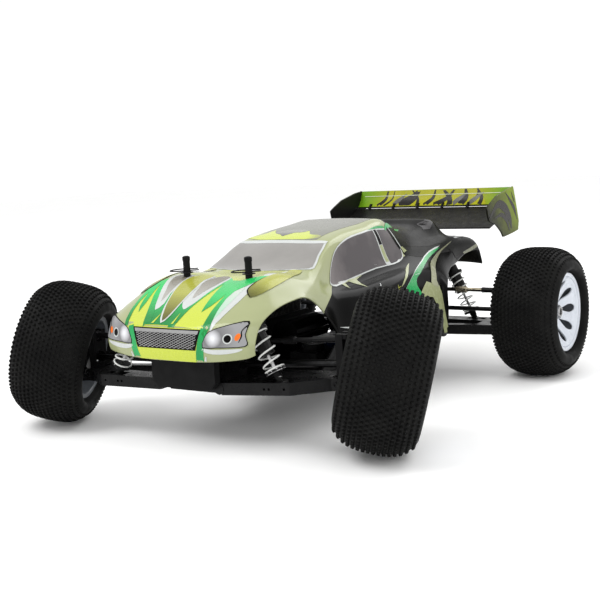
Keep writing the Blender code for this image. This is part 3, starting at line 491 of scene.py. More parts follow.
# Cross stations of the shell in millimetres, from the lower front lip to the tail, centre plane outwards
BODY_STATIONS = [
    # lower lip
    [(0, -265.5, 85), (18, -265.5, 85), (36, -265, 85.5), (50, -263.5, 86.2), (62, -261, 87.2),
     (72, -258, 88.2), (80, -254.5, 89.5), (84.5, -250, 91.5)],
    # bottom of the lamps and grille
    [(0, -268, 96.5), (18, -268, 96.5), (34.5, -267.5, 96.5), (50, -265.5, 97), (62, -263, 97.5),
     (72, -260, 98.5), (80, -256, 99.5), (85, -250, 101)],
    # top of the lamps and grille
    [(0, -266.5, 113.7), (18, -266.5, 113.7), (38.5, -265.5, 113.5), (50, -263, 114.5), (62, -259, 116),
     (72, -254.5, 116.5), (79.5, -250, 116), (85, -243.5, 113)],
    # leading edge of the bonnet
    [(0, -260, 120), (18, -260, 120), (38, -259, 120), (50, -255.5, 122), (62, -250, 124), (72, -244, 124),
     (79.5, -238.5, 122.5), (85, -232, 121)],
    [(0, -240, 131.5), (18, -240, 131.5), (37, -239, 131.5), (52, -237, 133), (63, -233, 133),
     (72, -228, 131.5), (79.5, -221, 129.5), (85, -212, 127.4)],
    [(0, -212, 142), (18, -212, 142), (36, -211.5, 143), (52, -211, 145), (62, -209, 144.5),
     (71, -205, 140), (78.5, -199, 134.5), (85, -189, 130.3)],
    [(0, -178, 148.5), (18, -178, 149), (36, -178, 150.5), (52, -177, 151.5), (63, -175, 149.5),
     (71.5, -173, 143), (78.5, -170, 136.5), (85, -168, 129.8)],
    # foot of the windshield
    [(0, -133, 150), (18, -132.5, 150), (37, -131, 149.8), (56.5, -129.6, 148.5), (66, -130, 145),
     (73, -134, 138.5), (79, -140, 130), (85, -148, 119)],
    # head of the windshield
    [(0, -85, 171.5), (18, -84.5, 171.3), (36, -83, 170.6), (54.6, -81.3, 169), (60, -84, 160),
     (66, -95, 133), (78, -108, 120), (86, -125, 96)],
    [(0, -50, 180), (18, -50, 179.8), (36, -50, 178.8), (52, -50, 175.5), (59, -50, 164), (66.5, -55, 131),
     (85, -75, 115), (92, -103, 60)],
    # middle of the roof
    [(0, 0, 184.5), (18, 0, 184.3), (36, 0, 183.3), (51, 0, 180), (58.5, 0, 170), (67, 0, 135),
     (90, -10, 118), (97, -20, 55)],
    # back of the roof
    [(0, 43, 185.5), (18, 43, 185.3), (34, 43, 184.7), (47, 42, 183), (56.5, 44, 169), (67, 50, 139.5),
     (88, 55, 118), (100, 60, 53.5)],
    [(0, 80, 174), (18, 80, 174), (34, 81, 173.5), (44, 82, 170.5), (55, 85, 155), (65, 85, 142),
     (89, 88, 115), (100, 90, 54)],
    [(0, 115, 168), (18, 115, 168), (34, 114, 167), (44, 113, 163.5), (56, 110, 152), (65, 108, 144.5),
     (85, 104, 120), (98.5, 97, 100)],
    [(0, 145, 169), (18, 145, 169), (34, 145, 168), (44.5, 145, 164), (56, 145, 153), (64.5, 145, 148),
     (75, 143, 130), (81, 140, 116)],
    # top of the hump
    [(0, 168, 174.5), (18, 168, 174.5), (34, 168, 174), (45.5, 169, 172), (56, 171, 156), (64, 172, 150),
     (71, 171, 136), (73.5, 168, 119)],
    [(0, 189, 156), (18, 189, 156), (34, 189, 155.8), (45, 189, 155), (56, 189, 152), (64, 189, 149.5),
     (69.5, 187, 139), (71, 185, 122.5)],
    [(0, 207, 150), (18, 207, 150), (34, 207, 150), (45, 207, 149.5), (56, 207, 149), (64, 207, 147.5),
     (69, 207, 140), (70, 206, 128.2)],
    [(0, 234, 147.5), (18, 234, 147.5), (34, 234, 147.5), (45, 234, 147.2), (56, 234, 146.5),
     (64, 233, 145), (69, 231, 139), (70, 228, 130)],
    [(0, 249, 140), (18, 249, 140), (34, 249, 140), (45, 249, 139.8), (56, 249, 139), (64, 248, 137),
     (69, 247, 133), (70, 245.5, 127.5)],
    # lower edge of the tail
    [(0, 258.5, 113), (18, 258.5, 113), (34, 258.5, 113), (45, 258.3, 112.8), (56, 258, 112.2),
     (64, 257.7, 111.5), (69, 257.5, 111), (70, 257, 110.5)],
]


def shell_surface():
    """The shell's outer surface as a fine grid of points, smooth both ways."""
    stations = [mm(*row) for row in BODY_STATIONS]
    across = [smooth_line([(-x, y, z) for x, y, z in reversed(row[1:])] + row, 6) for row in stations]
    columns = [smooth_line(list(column), 7) for column in zip(*across)]
    return [list(row) for row in zip(*columns)]


SHELL_POINTS = shell_surface()


def make_shell():
    bm = bmesh.new()
    rows = [[bm.verts.new(p) for p in row] for row in SHELL_POINTS]
    half, slot_start, slot_end = WING_SLOT
    for low, high in zip(rows, rows[1:]):
        for i in range(len(low) - 1):
            corners = (low[i], low[i + 1], high[i + 1], high[i])
            centre = sum((v.co for v in corners), Vector()) / 4
            in_slot = abs(centre.x) < half and slot_start < centre.y < slot_end
            off_post = min(hypot(centre.x - x, centre.y - y) for x, y in POSTS)
            at_post = off_post < POST_HOLE_RADIUS and centre.z > POST_HOLE_LOW
            if not in_slot and not at_post:
                bm.faces.new(corners)
    loose = [v for v in bm.verts if not v.link_faces]
    bmesh.ops.delete(bm, geom=loose, context="VERTS")
    shell = new_piece("body_skin", mesh_from(bm, False), "shell", "chassis", 50)
    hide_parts("body_shell")
    shell.data.materials.append(mat["inside"])
    wall = {"thickness": SHELL_THICKNESS, "offset": -1, "material_offset": 1, "material_offset_rim": 0}
    modifier(shell, "SOLIDIFY", **wall)


def grid_tree(points):
    """A grid of points as a surface that rays can hit."""
    flat = [Vector(p) for row in points for p in row]
    width = len(points[0])
    faces = []
    for r in range(len(points) - 1):
        for c in range(width - 1):
            a = r * width + c
            faces.append((a, a + 1, a + 1 + width, a + width))
    return BVHTree.FromPolygons(flat, faces)


SHELL_TREE = grid_tree(SHELL_POINTS)
# for each side a shape is laid from: where its ray starts and which way the ray goes
CASTS = {
    "top": (lambda a, b: (a, b, 0.4), (0, 0, -1)),
    "front": (lambda a, b: (a, -0.5, b), (0, 1, 0)),
    "left": (lambda a, b: (0.4, a, b), (-1, 0, 0)),
    "right": (lambda a, b: (-0.4, a, b), (1, 0, 0)),
}
# the painted shapes of each material, gathered into one mesh
SHEETS = {}
PAINT_CELL = 0.0028
PAINT_LIFT = 0.00016
LAYER_STEP = 0.0001
THINNEST_STROKE = 0.00005


def split_edges(line):
    """A closed outline cut into pieces no longer than a paint cell."""
    edge = []
    for a, b in zip(line, line[1:] + line[:1]):
        run, rise = b[0] - a[0], b[1] - a[1]
        pieces = max(1, int(hypot(run, rise) / PAINT_CELL))
        edge += [(a[0] + run * k / pieces, a[1] + rise * k / pieces) for k in range(pieces)]
    return edge


def decal(key, outline, cast, layer, smooth=1, tree=SHELL_TREE):
    """A painted shape: an outline in two of the axes, laid on the surface along the third."""
    place, way = CASTS[cast]
    direction = Vector(way)
    edge = split_edges(smooth_line(outline, smooth, True) if smooth > 1 else list(outline))
    points = [Vector(p) for p in edge]
    low = [min(p[k] for p in edge) for k in (0, 1)]
    high = [max(p[k] for p in edge) for k in (0, 1)]
    columns, rows = [int((high[k] - low[k]) / PAINT_CELL) + 1 for k in (0, 1)]
    for i in range(columns):
        for j in range(rows):
            points.append(Vector((low[0] + (i + 0.5) * PAINT_CELL, low[1] + (j + 0.5) * PAINT_CELL)))
    count = len(edge)
    loops = [(i, (i + 1) % count) for i in range(count)]
    inside_only, merge_distance = 1, 1e-6
    verts, _, faces, *_ = delaunay_2d_cdt(points, loops, [list(range(count))], inside_only, merge_distance)
    bm = SHEETS.setdefault(key, bmesh.new())
    made = []
    for v in verts:
        hit, normal, _, _ = tree.ray_cast(Vector(place(*v)), direction)
        if hit is None:
            made.append(None)
            continue
        if normal.dot(direction) > 0:
            normal = -normal
        made.append(bm.verts.new(hit + normal * (PAINT_LIFT + LAYER_STEP * layer)))
    for face in faces:
        corners = [made[i] for i in face]
        if None not in corners:
            new = bm.faces.new(corners)
            new.normal_update()
            if new.normal.dot(direction) > 0:
                new.normal_flip()


def both(key, outline, cast, layer, **more):
    """The same shape on both sides of the car."""
    decal(key, outline, cast, layer, **more)
    if cast == "left":
        decal(key, outline, "right", layer, **more)
    else:
        decal(key, [(-a, b) for a, b in outline], cast, layer, **more)


def mirrored(half):
    """A closed outline from its half on the car's left, which starts and ends on the middle plane."""
    return half + [(-x, y) for x, y in reversed(half[1:-1])]


def grown(outline, centre, along, up):
    """An outline scaled about a centre, by a factor each way."""
    return [(centre[0] + (a - centre[0]) * along, centre[1] + (b - centre[1]) * up) for a, b in outline]


def ribbon(line, widths):
    """The outline of a tapering stroke along a line, its half widths in millimetres."""
    path = smooth_line(line, 5)
    sizes = smooth_line(mm(*[(w,) for w in widths]), 5)
    left, right = [], []
    for i, (a, b) in enumerate(path):
        before = path[max(i - 1, 0)]
        after = path[min(i + 1, len(path) - 1)]
        run = hypot(after[0] - before[0], after[1] - before[1]) or 1.0
        nx, ny = -(after[1] - before[1]) / run, (after[0] - before[0]) / run
        w = max(sizes[i][0], THINNEST_STROKE)
        left.append((a + nx * w, b + ny * w))
        right.append((a - nx * w, b - ny * w))
    return left + right[::-1]


def stroke(key, line, widths, cast, layer, mirror=True, tree=SHELL_TREE):
    lay = both if mirror else decal
    lay(key, ribbon(line, widths), cast, layer, tree=tree)


def ellipse(x, y, rx, ry, tilt=0.0):
    points = []
    for i in range(20):
        a = tau * i / 20
        u, v = rx * cos(a), ry * sin(a)
        points.append((x + u * cos(tilt) - v * sin(tilt), y + u * sin(tilt) + v * cos(tilt)))
    return points


def paint_bonnet():
    # lime field from the nose to the foot of the screen, shaded where it nears the screen
    decal("lime", mm((-49, -265.5), (42, -265.5), (42, -245), (39, -225), (44, -205), (50, -185),
        (47, -155), (45, -134), (0, -136.5), (-33, -135), (-36, -165), (-47, -190), (-56, -215),
        (-57, -243)), "top", 0)
    decal("pale", mm((43, -139), (47, -137), (52, -158), (58, -183), (50, -184), (46, -165)), "top", 2,
        smooth=2)
    # flames on the car's left
    decal("pale", mm((44, -217), (52, -205), (57, -184), (61, -200), (59, -222), (55, -246), (50, -262),
        (46, -262), (43, -240)), "top", 1, smooth=2)
    decal("mint", mm((43, -219), (48, -213), (52, -216), (50, -236), (47, -254), (44, -254), (41, -238)),
        "top", 2, smooth=2)
    decal("green", mm((14, -184), (22, -193), (32, -195), (43, -189), (56, -183), (55, -199), (50, -211),
        (43, -219), (41.5, -230), (43.5, -245), (48, -266), (40, -266), (37.5, -248), (36, -222),
        (34.5, -232), (32, -241), (27.6, -249), (25.5, -240), (22, -222), (17.5, -200), (16.5, -217),
        (14, -236), (11.5, -252), (9.5, -266), (2, -266), (4, -250), (10, -240), (14, -220), (14, -200)),
        "top", 3)
    # flames on the car's right
    decal("green", mm((-46, -194), (-44, -214), (-37, -231), (-26, -249), (-20, -262), (-27, -266),
        (-34, -250), (-44, -229), (-50, -211), (-47.5, -226), (-44.5, -240), (-43.5, -252), (-47.5, -245),
        (-50.5, -236), (-52.5, -225), (-53, -238), (-51, -250), (-46, -266), (-50.5, -266), (-55, -250),
        (-57.5, -234), (-57.5, -219), (-55, -206), (-49, -196)), "top", 3)
    decal("green", mm((-47, -205), (-30, -196), (-8, -206), (6, -240), (9.5, -265), (-25, -265),
        (-38, -236)), "top", 2)
    # yellow spikes that cut into the green at the nose
    decal("lime", mm((4.6, -264), (6.4, -251), (6.9, -264)), "top", 5)
    decal("lime", mm((-18.4, -264), (-14.6, -252), (-15.6, -264)), "top", 5)
    # white lobes with grey drops inside them
    decal("pale", mm((5.6, -247), (-2, -238), (-6, -225), (-9.5, -208), (-10, -192), (-4, -181), (14, -184),
        (15, -200), (14.5, -214), (12.5, -235), (9, -244)), "top", 4, smooth=2)
    decal("grey", mm((3.6, -231), (-2.5, -214), (-7.4, -200), (-7, -189), (0, -178), (11, -182),
        (11.5, -200), (9.6, -212), (7, -225)), "top", 5, smooth=2)
    decal("pale", mm((-26, -249), (-35, -234), (-42, -220), (-48, -205), (-50, -193), (-44, -184),
        (-31, -183), (-30, -206), (-27, -225), (-22, -240)), "top", 4, smooth=2)
    decal("grey", mm((-28.4, -237), (-36.5, -220), (-43.5, -206), (-46.5, -193), (-42, -185), (-34, -186),
        (-32.5, -206), (-29.5, -224)), "top", 5, smooth=2)
    # the long gold drop between them
    decal("pale", mm((-7.6, -264), (-15.5, -251), (-21.2, -236), (-27.4, -220), (-31.4, -206),
        (-32.4, -194), (-28, -180), (-8, -180), (-9, -193), (-5, -212), (-2.4, -238), (-2.6, -255)), "top",
        6, smooth=2)
    decal("gold", mm((-7.6, -261.5), (-14.4, -249), (-20, -236), (-26, -220), (-30, -206), (-31, -195),
        (-26, -178), (-10, -178), (-11.5, -194), (-7.5, -212), (-4, -238), (-4.2, -253)), "top", 7,
        smooth=2)
    # raised scoops
    both("gold_scoop", mm((63.6, -225), (55.5, -217), (55, -200), (56, -187), (56, -174), (52, -158),
        (46, -139), (45, -131), (53, -129), (57.5, -131), (62.5, -150), (67, -166), (69.5, -190),
        (69, -213)), "top", 5, smooth=2)
    stroke("black", mm((64, -225), (56.5, -218), (55.2, -203), (56, -188)), (0.2, 0.6, 0.5, 0.1), "top", 6)


GRILLE_BARS = 14
GRILLE_STEP = 0.005
GRILLE_LOW = 0.0972
GRILLE_HEIGHT = 0.0135
GRILLE_MIDDLE = 0.104
GRILLE_SLANT = 2.3


def paint_grille_bars():
    """Bars slanting both ways, cut at the grille's sides, which lean outwards."""
    for lean, half_width in ((1, 0.26), (-1, 0.16)):
        for i in range(-GRILLE_BARS, GRILLE_BARS + 1):
            run = []
            for k in range(15):
                z = GRILLE_LOW + GRILLE_HEIGHT * k / 14
                x = i * GRILLE_STEP + lean * (z - GRILLE_MIDDLE) * GRILLE_SLANT
                if abs(x) < 0.0322 + (z - 0.097) * 0.27:
                    run.append((x, z))
            if len(run) > 2:
                decal("chrome_print", ribbon([run[0], run[-1]], (half_width, half_width)), "front", 4)


def paint_nose():
    decal("lime", mm((-33, 84), (33, 84), (37, 100), (40, 115), (-40, 115), (-37, 100)), "front", 0)
    stroke("green_side", mm((35.5, 84), (37, 92), (39, 102), (42, 115)), (4, 3.8, 3.6, 3.4), "front",
        1)
    stroke("pale", mm((40.5, 84), (43, 91)), (1.4, 0.6), "front", 1)
    # a pale band along the nose below each lamp: painted highlight on the lower front corner
    both("pale", mm((41, 95.6), (50, 93.4), (64, 94), (74, 96), (77, 98.4), (66, 98), (50, 97.4),
        (41, 98.4)), "front", 1, smooth=2)
    # grille: black print with a silver band and a slanting mesh
    decal("black", mm((-38.6, 114.2), (38.6, 114.2), (33.3, 96.2), (-33.3, 96.2)), "front", 2)
    decal("chrome_print", mm((-36.6, 113.2), (36.6, 113.2), (35.8, 110.4), (-35.8, 110.4)), "front", 3)
    paint_grille_bars()
    # lamps
    lamp = mm((40.6, 98.8), (42.4, 107), (47, 113), (58, 117), (74, 120.6), (79.2, 118.6),
        (78.4, 110), (80.6, 103.2), (79, 100), (68, 99.2), (54, 98.8))
    inner = grown(lamp, (0.0605, 0.108), 0.965, 0.925)
    both("black", lamp, "front", 3, smooth=2)
    decal("lamp", inner, "front", 4, smooth=2)
    decal("lamp_right", [(-x, z) for x, z in inner], "front", 4, smooth=2)
    both("pale", ellipse(0.064, 0.1068, 0.0043, 0.0043), "front", 5)
    both("black", ellipse(0.064, 0.1068, 0.0032, 0.0032), "front", 6)
    both("orange", ellipse(0.0724, 0.1082, 0.0021, 0.0032, -0.45), "front", 5)
    stroke("black", mm((73.6, 103.6), (75.4, 108.5), (75.2, 113), (78.6, 117.6)), (0.2, 0.5, 0.4, 0.4),
        "front", 6)


def paint_cab():
    # screen with its pale border
    screen = mm((0, -85.8), (25, -84.8), (44, -82), (52, -80.5), (56, -100), (60.5, -117), (56, -124),
        (46, -128), (25, -134.5), (0, -137))
    whole = mirrored(screen)
    decal("pale", grown(whole, (0, -0.1065), 1.035, 1.045), "top", 2, smooth=2)
    decal("screen", whole, "top", 3, smooth=2)
    band = mm((0, -80.2), (25, -79), (44, -76.5), (53, -75), (54, -80), (44, -83), (25, -85.8), (0, -86.8))
    decal("pale", mirrored(band), "top", 4)
    # roof panel, lime flash and its notch
    roof = mm((0, -79), (30, -77), (39, -74), (41, -40), (43, 0), (42, 30), (38, 48), (0, 50))
    decal("roof", mirrored(roof), "top", 0)
    decal("lime_roof", mm((-52, -66), (-37, -74), (-21, -77.5), (0, -78), (25, -76), (40, -69), (36, -62),
        (28, -63), (22, -60), (15.6, -50), (9, -56), (2, -57), (-5, -67), (-13, -63), (-20, -59),
        (-26, -52), (-31, -43), (-35, -54), (-42, -62)), "top", 1, smooth=2)
    decal("roof_notch", mm((-5, -69.5), (-12, -63), (-19, -60), (-22, -52), (-6, -44), (12, -46), (14, -53),
        (8, -57), (2, -58)), "top", 2, smooth=2)
    # side windows
    window = mm((-95, 132.6), (-93.5, 137), (-88, 146), (-79, 157), (-67, 164.5), (-52, 169), (-35, 172),
        (-11, 174), (6, 175), (37, 173), (43, 170), (56.5, 152), (56, 144), (49, 140), (30, 137.5),
        (-5, 137), (-41, 134), (-64, 132), (-86, 130))
    both("pale", grown(window, (-0.019, 0.1525), 1.022, 1.075), "left", 3, smooth=2)
    both("side_glass", window, "left", 4, smooth=2)
    both("pale", mm((7.5, 175), (16, 175), (26, 137), (17, 137)), "left", 5)
    both("black", mm((9.2, 175), (14.4, 175), (19.6, 159), (13.4, 159)), "left", 6)
    both("beige", mm((13.6, 158.5), (19.6, 158.5), (24.4, 140), (18.2, 140)), "left", 6)
    # bars behind the window
    stroke("black", mm((42, 174), (49, 163), (57, 150)), (2, 2.4, 1.4), "left", 6)
    stroke("pale", mm((45.5, 174), (52.5, 163), (60, 151)), (0.5, 0.9, 0.8), "left", 7)
    both("beige", mm((58.5, 152), (64, 152), (71, 146.5), (62, 145)), "left", 7)


def paint_rear():
    # dark deck from above, black flanks from the side
    deck = mm((0, 50), (30, 49), (41, 50), (50, 60), (64, 66), (72, 100), (71, 200), (70.5, 258),
        (0, 259.5))
    decal("deck", mirrored(deck), "top", 0)
    # a lighter patch on the deck top behind the roof: painted reflection
    both("deck_highlight", mm((6, 92), (20, 90), (30, 97), (31, 108), (20, 114), (6, 113)), "top", 1, smooth=2)
    both("deck", mm((60, 153), (50, 167), (44, 178), (60, 176), (100, 166), (136, 163), (140, 155),
        (168, 155), (172, 170), (190, 157), (234, 149), (249, 140), (256, 118), (246, 129), (212, 131),
        (190, 128), (176, 127), (168, 135), (150, 147), (120, 146), (90, 149)), "left", 2)
    # a lighter patch high on the side of the hump: painted sheen
    both("deck_highlight", mm((146, 163), (156, 163), (168, 170), (164, 174), (150, 169)), "left", 3)
    both("beige_strip", mm((200, 131), (220, 134), (246, 138), (248, 134), (222, 130), (203, 128.5)),
        "left", 3)
    # thin pale strokes down the tail's rear corner and along its upper shoulder: painted highlights on the
    # edges
    stroke("pale", mm((250, 130), (254, 121), (257, 112)), (0.8, 1, 0.4), "left", 4)
    stroke("pale", mm((189, 149.2), (212, 148.6), (236, 147)), (0.4, 0.7, 0.2), "left", 4)
    # beige spikes below the window
    both("beige", mm((-96, 133), (-82, 131.5), (-76, 129), (-72, 124.5), (-70, 129.5), (-62, 130),
        (-55, 126.5), (-49, 122.5), (-48, 130), (-36, 132.5), (-36, 136), (-92, 135)), "left", 2)
    # lower beige field behind the flame, down to the rear foot
    both("beige", mm((40, 101), (52, 108), (64, 114), (77, 110), (90, 106), (92, 96), (91, 80), (92, 54),
        (82, 54), (80, 80), (70, 96)), "left", 2)
    # long flame on the side pod
    flame = mm((142, 143), (112, 140), (83, 133), (53, 127), (24, 118), (11, 111), (16, 104), (28, 104),
        (39, 98), (55, 93), (46, 104), (40, 113), (44, 119), (55, 122.5), (83, 130), (112, 136.6))
    both("pale", grown(flame, (0.06, 0.1195), 1.022, 1.07), "left", 3, smooth=2)
    both("green_side", flame, "left", 4, smooth=2)
    both("beige_strip", mm((179, 147), (150, 142), (128, 137.8), (103, 131.5), (90, 126.5), (80, 119),
        (74, 112), (77, 108), (88, 105), (87, 112), (92, 118), (100, 124), (118, 131.5), (140, 138.4),
        (162, 143)), "left", 5, smooth=2)
    stroke("beige", mm((4, 116), (20, 122.5), (38, 129), (56, 134)), (0.2, 1.1, 1, 0.2), "left", 3)
    for low, high in ((112, 119), (114, 117), (111, 115)):
        stroke("gold_scoop", mm((-11 + high - low, low), (-4, (low + high) / 2), (6 - (high - low), high)),
            (0.1, 0.6, 0.1), "left", 4)
    stroke("pale", mm((-46, 117), (-36, 119), (-28, 124)), (0.1, 0.7, 0.1), "left", 3)
    stroke("pale", mm((-114, 93), (-100, 90.5), (-90, 89)), (0.1, 0.7, 0.1), "left", 3)
    both("green_side", mm((36, 172), (40, 176.5), (52, 179), (62, 176), (64, 172), (52, 174)), "left", 5,
        smooth=2)
    stroke("green_side", mm((0, 176), (18, 177), (36, 176)), (0.1, 1.2, 1.4), "left", 5)
    stroke("green_side", mm((66, 170), (76, 168.6), (86, 168)), (0.8, 1.2, 0.2), "left", 5)


def lay_sheets():
    for key, bm in SHEETS.items():
        new_piece(f"paint_{key}", mesh_from(bm, False), key, "chassis", 60)


# ---------------------------------------------------------------- wheels

STUD_COLUMNS = 16
STUD_ROWS = 80
STUD_SIDES = 7
STUDDED_WIDTH = 0.067
# height above the tread and radius, from a stud's foot to its top
STUD_RINGS = ((-0.0006, 0.00165), (0.00125, 0.00145), (0.00175, 0.00105))
TREAD_HALF = 0.0352
TREAD_RADIUS = 0.0697
MIDDLE_DROP = 0.003
SHOULDER_DROP = 0.01
SPOKES = 9
SPOKE_CREST = 0.0012


def tyre_profile():
    """The carcass as a closed outline of (distance from the middle plane, radius)."""
    side = mm((27.25, 41.2), (28.75, 44.6), (35.25, 46.8), (37.25, 51), (35.45, 56.3), (31.65, 60.8),
        (26.25, 64.7), (19.25, 67.5), (10, 69.1), (0, 69.5))
    outer = smooth_line(side + [(-x, r) for x, r in reversed(side[:-1])], 4)
    inner = mm((-23.25, 41.2), (-33.25, 50), (-23.25, 65))
    return outer + inner + [(-x, r) for x, r in reversed(inner)]


def crown(x):
    """Radius and outward lean of the tread at a distance from the middle plane."""
    t = min(abs(x) / TREAD_HALF, 1.0)
    radius = TREAD_RADIUS - MIDDLE_DROP * t**2 - SHOULDER_DROP * t**4
    slope = (2 * MIDDLE_DROP * t + 4 * SHOULDER_DROP * t**3) / TREAD_HALF
    return radius, atan2(slope, 1.0) * (1 if x > 0 else -1)


def add_stud(bm, base, out, around):
    side = out.cross(around)
    turns = [tau * i / STUD_SIDES for i in range(STUD_SIDES)]
    rings = []
    for height, size in STUD_RINGS:
        centre = base + out * height
        rings.append([bm.verts.new(centre + size * (around * cos(a) + side * sin(a))) for a in turns])
    add_ring_faces(bm, rings)
    bm.faces.new(rings[-1])


def tyre_mesh():
    bm = bmesh.new()
    turned(bm, tyre_profile(), 72, Matrix.Identity(4), Matrix.Identity(4), True)
    for c in range(STUD_COLUMNS):
        x = (c - (STUD_COLUMNS - 1) / 2) * STUDDED_WIDTH / (STUD_COLUMNS - 1)
        radius, lean = crown(x)
        for k in range(STUD_ROWS):
            angle = tau * (k + 0.5 * (c % 2)) / STUD_ROWS
            out = Vector((sin(lean), cos(lean) * cos(angle), cos(lean) * sin(angle)))
            around = Vector((0, -sin(angle), cos(angle)))
            add_stud(bm, Vector((x, radius * cos(angle), radius * sin(angle))), out, around)
    return mesh_from(bm)


def rim_face_mesh():
    """The dish with a window between each pair of spokes."""
    stations = mm((16, 8.5), (15.8, 11), (15.2, 12.8), (15.2, 14.2), (15.8, 16.5), (17, 20), (18.8, 24),
        (20.8, 28), (22.8, 31), (24.3, 33.2), (25.4, 34.8), (27.2, 36.8), (29, 38.5))
    window_start, window_end = 0.014, 0.035
    half = tau / SPOKES / 2
    bm = bmesh.new()
    rows = []
    for x, r in stations:
        gap = 0.002
        if window_start < r < window_end:
            gap = 0.0004 + 0.0044 * sin(pi * ((r - 0.013) / 0.0224) ** 2.4) ** 0.7
        gap /= r
        shoulder = gap + (half - gap) * 0.4
        crest = SPOKE_CREST if 0.013 < r < 0.034 else 0.0
        row = []
        for s in range(SPOKES):
            for turn, lift in ((-gap, 0), (gap, 0), (shoulder, 0), (half, crest), (2 * half - shoulder, 0)):
                a = 2 * half * s + turn
                row.append(bm.verts.new((x + lift, r * cos(a), r * sin(a))))
        rows.append(row)
    count = len(rows[0])
    for i, (low, high) in enumerate(zip(rows, rows[1:])):
        in_window = window_start < stations[i][1] and stations[i + 1][1] < window_end
        for j in range(count):
            if in_window and j % 5 == 0:
                continue
            k = (j + 1) % count
            bm.faces.new((low[j], low[k], high[k], high[j]))
    return mesh_from(bm)


# name, look and slot, sides, closed to a ring, smoothing angle, (distance outwards, radius) in millimetres
WHEEL_RINGS = (
    ("rim_lip", "rim", "rim", 64, True, 35,
     [(30, 43.2), (30.6, 42.6), (30.6, 40), (30, 39.2), (28.5, 38.8), (26.2, 38.4), (26.2, 40.4),
      (27.7, 40.6), (28.4, 43.2)]),
    # the barrel behind the white lip is grey: painted shade inside the rim
    ("shaded_rim_well", "shaded_rim_well", "rim", 64, True, 35,
     [(25.8, 38.4), (20, 38.2), (-29, 38), (-30, 38.8), (-30, 42.5), (-28.2, 42.5), (-27.6, 40.6),
      (25.8, 40.4)]),
    ("rim_hub", "rim", "rim", 40, True, 35,
     [(-12.5, 8.6), (-12.5, 3.2), (15, 3.2), (16.5, 4.5), (16.5, 9.2), (14, 10.8), (6, 10)]),
    ("stub_axle", "steel", "steel", 20, False, 35,
     [(-34.5, 3), (-34, 3.4), (-13, 3.4), (-12.8, 3), (20, 3), (20.4, 2.6)]),
    ("wheel_nut", "steel", "steel", 6, False, 0,
     [(17, 6.6), (17.3, 7.8), (18.3, 7.8), (18.4, 7.4), (22.2, 7.2), (23, 6.4), (23, 4.2), (20.5, 3.8)]),
    ("nut_flange", "steel", "steel", 32, False, 35,
     [(16.5, 7.8), (16.8, 9.4), (18.2, 9.4), (18.8, 8.4), (18.4, 7.4)]),
)


def make_wheels():
    meshes = (("tyre_tread", tyre_mesh(), "rubber", "tyre"), ("rim_dish", rim_face_mesh(), "rim", "rim"))
    for corner, (side, axle_y, _, steer, bump) in CORNERS.items():
        body = f"wheel_{corner}"
        turn = Matrix.Rotation(steer, 4, KINGPIN_AXIS) @ Matrix.Diagonal((side, 1, 1, 1))
        reach = ARM_LENGTH * (cos(bump) - 1)
        kingpin = Vector((side * (KINGPIN_X + reach), axle_y, WHEEL_Z + ARM_LENGTH * sin(bump)))
        place = Matrix.Translation(kingpin) @ turn @ Matrix.Translation((WHEEL_OFFSET, 0, 0))
        for name, source, look, slot in meshes:
            mesh = source.copy()
            mesh.transform(place)
            if side < 0:
                mesh.flip_normals()
            made = new_piece(f"{name}_{corner}", mesh, look, body, 35)
            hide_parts(f"{slot}_{corner}")
            if slot == "rim":
                modifier(made, "SOLIDIFY", thickness=0.0022, offset=0)
                bevel(made, 0.0005)
        centre = place @ Vector((0, 0, 0))
        axis = (place @ Vector((1, 0, 0))) - centre
        for name, look, slot, sides, ring, smooth, outline in WHEEL_RINGS:
            profile = mm(*outline)
            made = revolve(f"{name}_{corner}", look, body, profile, centre, axis, sides, ring, smooth)
            if name == "wheel_nut":
                bevel(made, 0.0003)


# ---------------------------------------------------------------- suspension details

TUBE_START = mm((3, 3), (3.4, 5.2), (5, 6.6), (9.2, 6.8), (9.6, 6.2), (10.4, 6.2))
TUBE_END = mm((31, 6.6), (34, 6.6), (34.4, 7), (36, 6.8), (36.2, 4), (36.4, 2.4))
TUBE_GROOVES = 9
COLLAR = mm((10, 7), (10.1, 9.4), (11.2, 9.9), (12.4, 9.9), (13.6, 9.4), (13.7, 7))
# measured back from the damper's foot
SPRING_CUP = mm((-15.2, 5), (-15, 9.4), (-13.2, 9.8), (-12.6, 8), (-12.2, 4), (-8, 3.6))
COIL_START = 0.0146
COIL_TO_FOOT = 0.016
COIL_RADIUS = 0.0086
COIL_STEPS = 18
COIL_TURNS = {"front": 5.2, "rear": 7.0}
COIL_WIRE = 0.00085


def coil_line(top, down, end, turns):
    """A spring's line, with its first and last turns lying flat."""
    across = down.orthogonal().normalized()
    other = down.cross(across)
    line = []
    for i in range(int(turns * COIL_STEPS) + 1):
        a = tau * i / COIL_STEPS
        turn = i / COIL_STEPS
        rise = min(max((turn - 0.7) / (turns - 1.4), 0.0), 1.0)
        d = COIL_START + (end - COIL_START) * rise
        line.append(top + down * d + (across * cos(a) + other * sin(a)) * COIL_RADIUS)
    return line


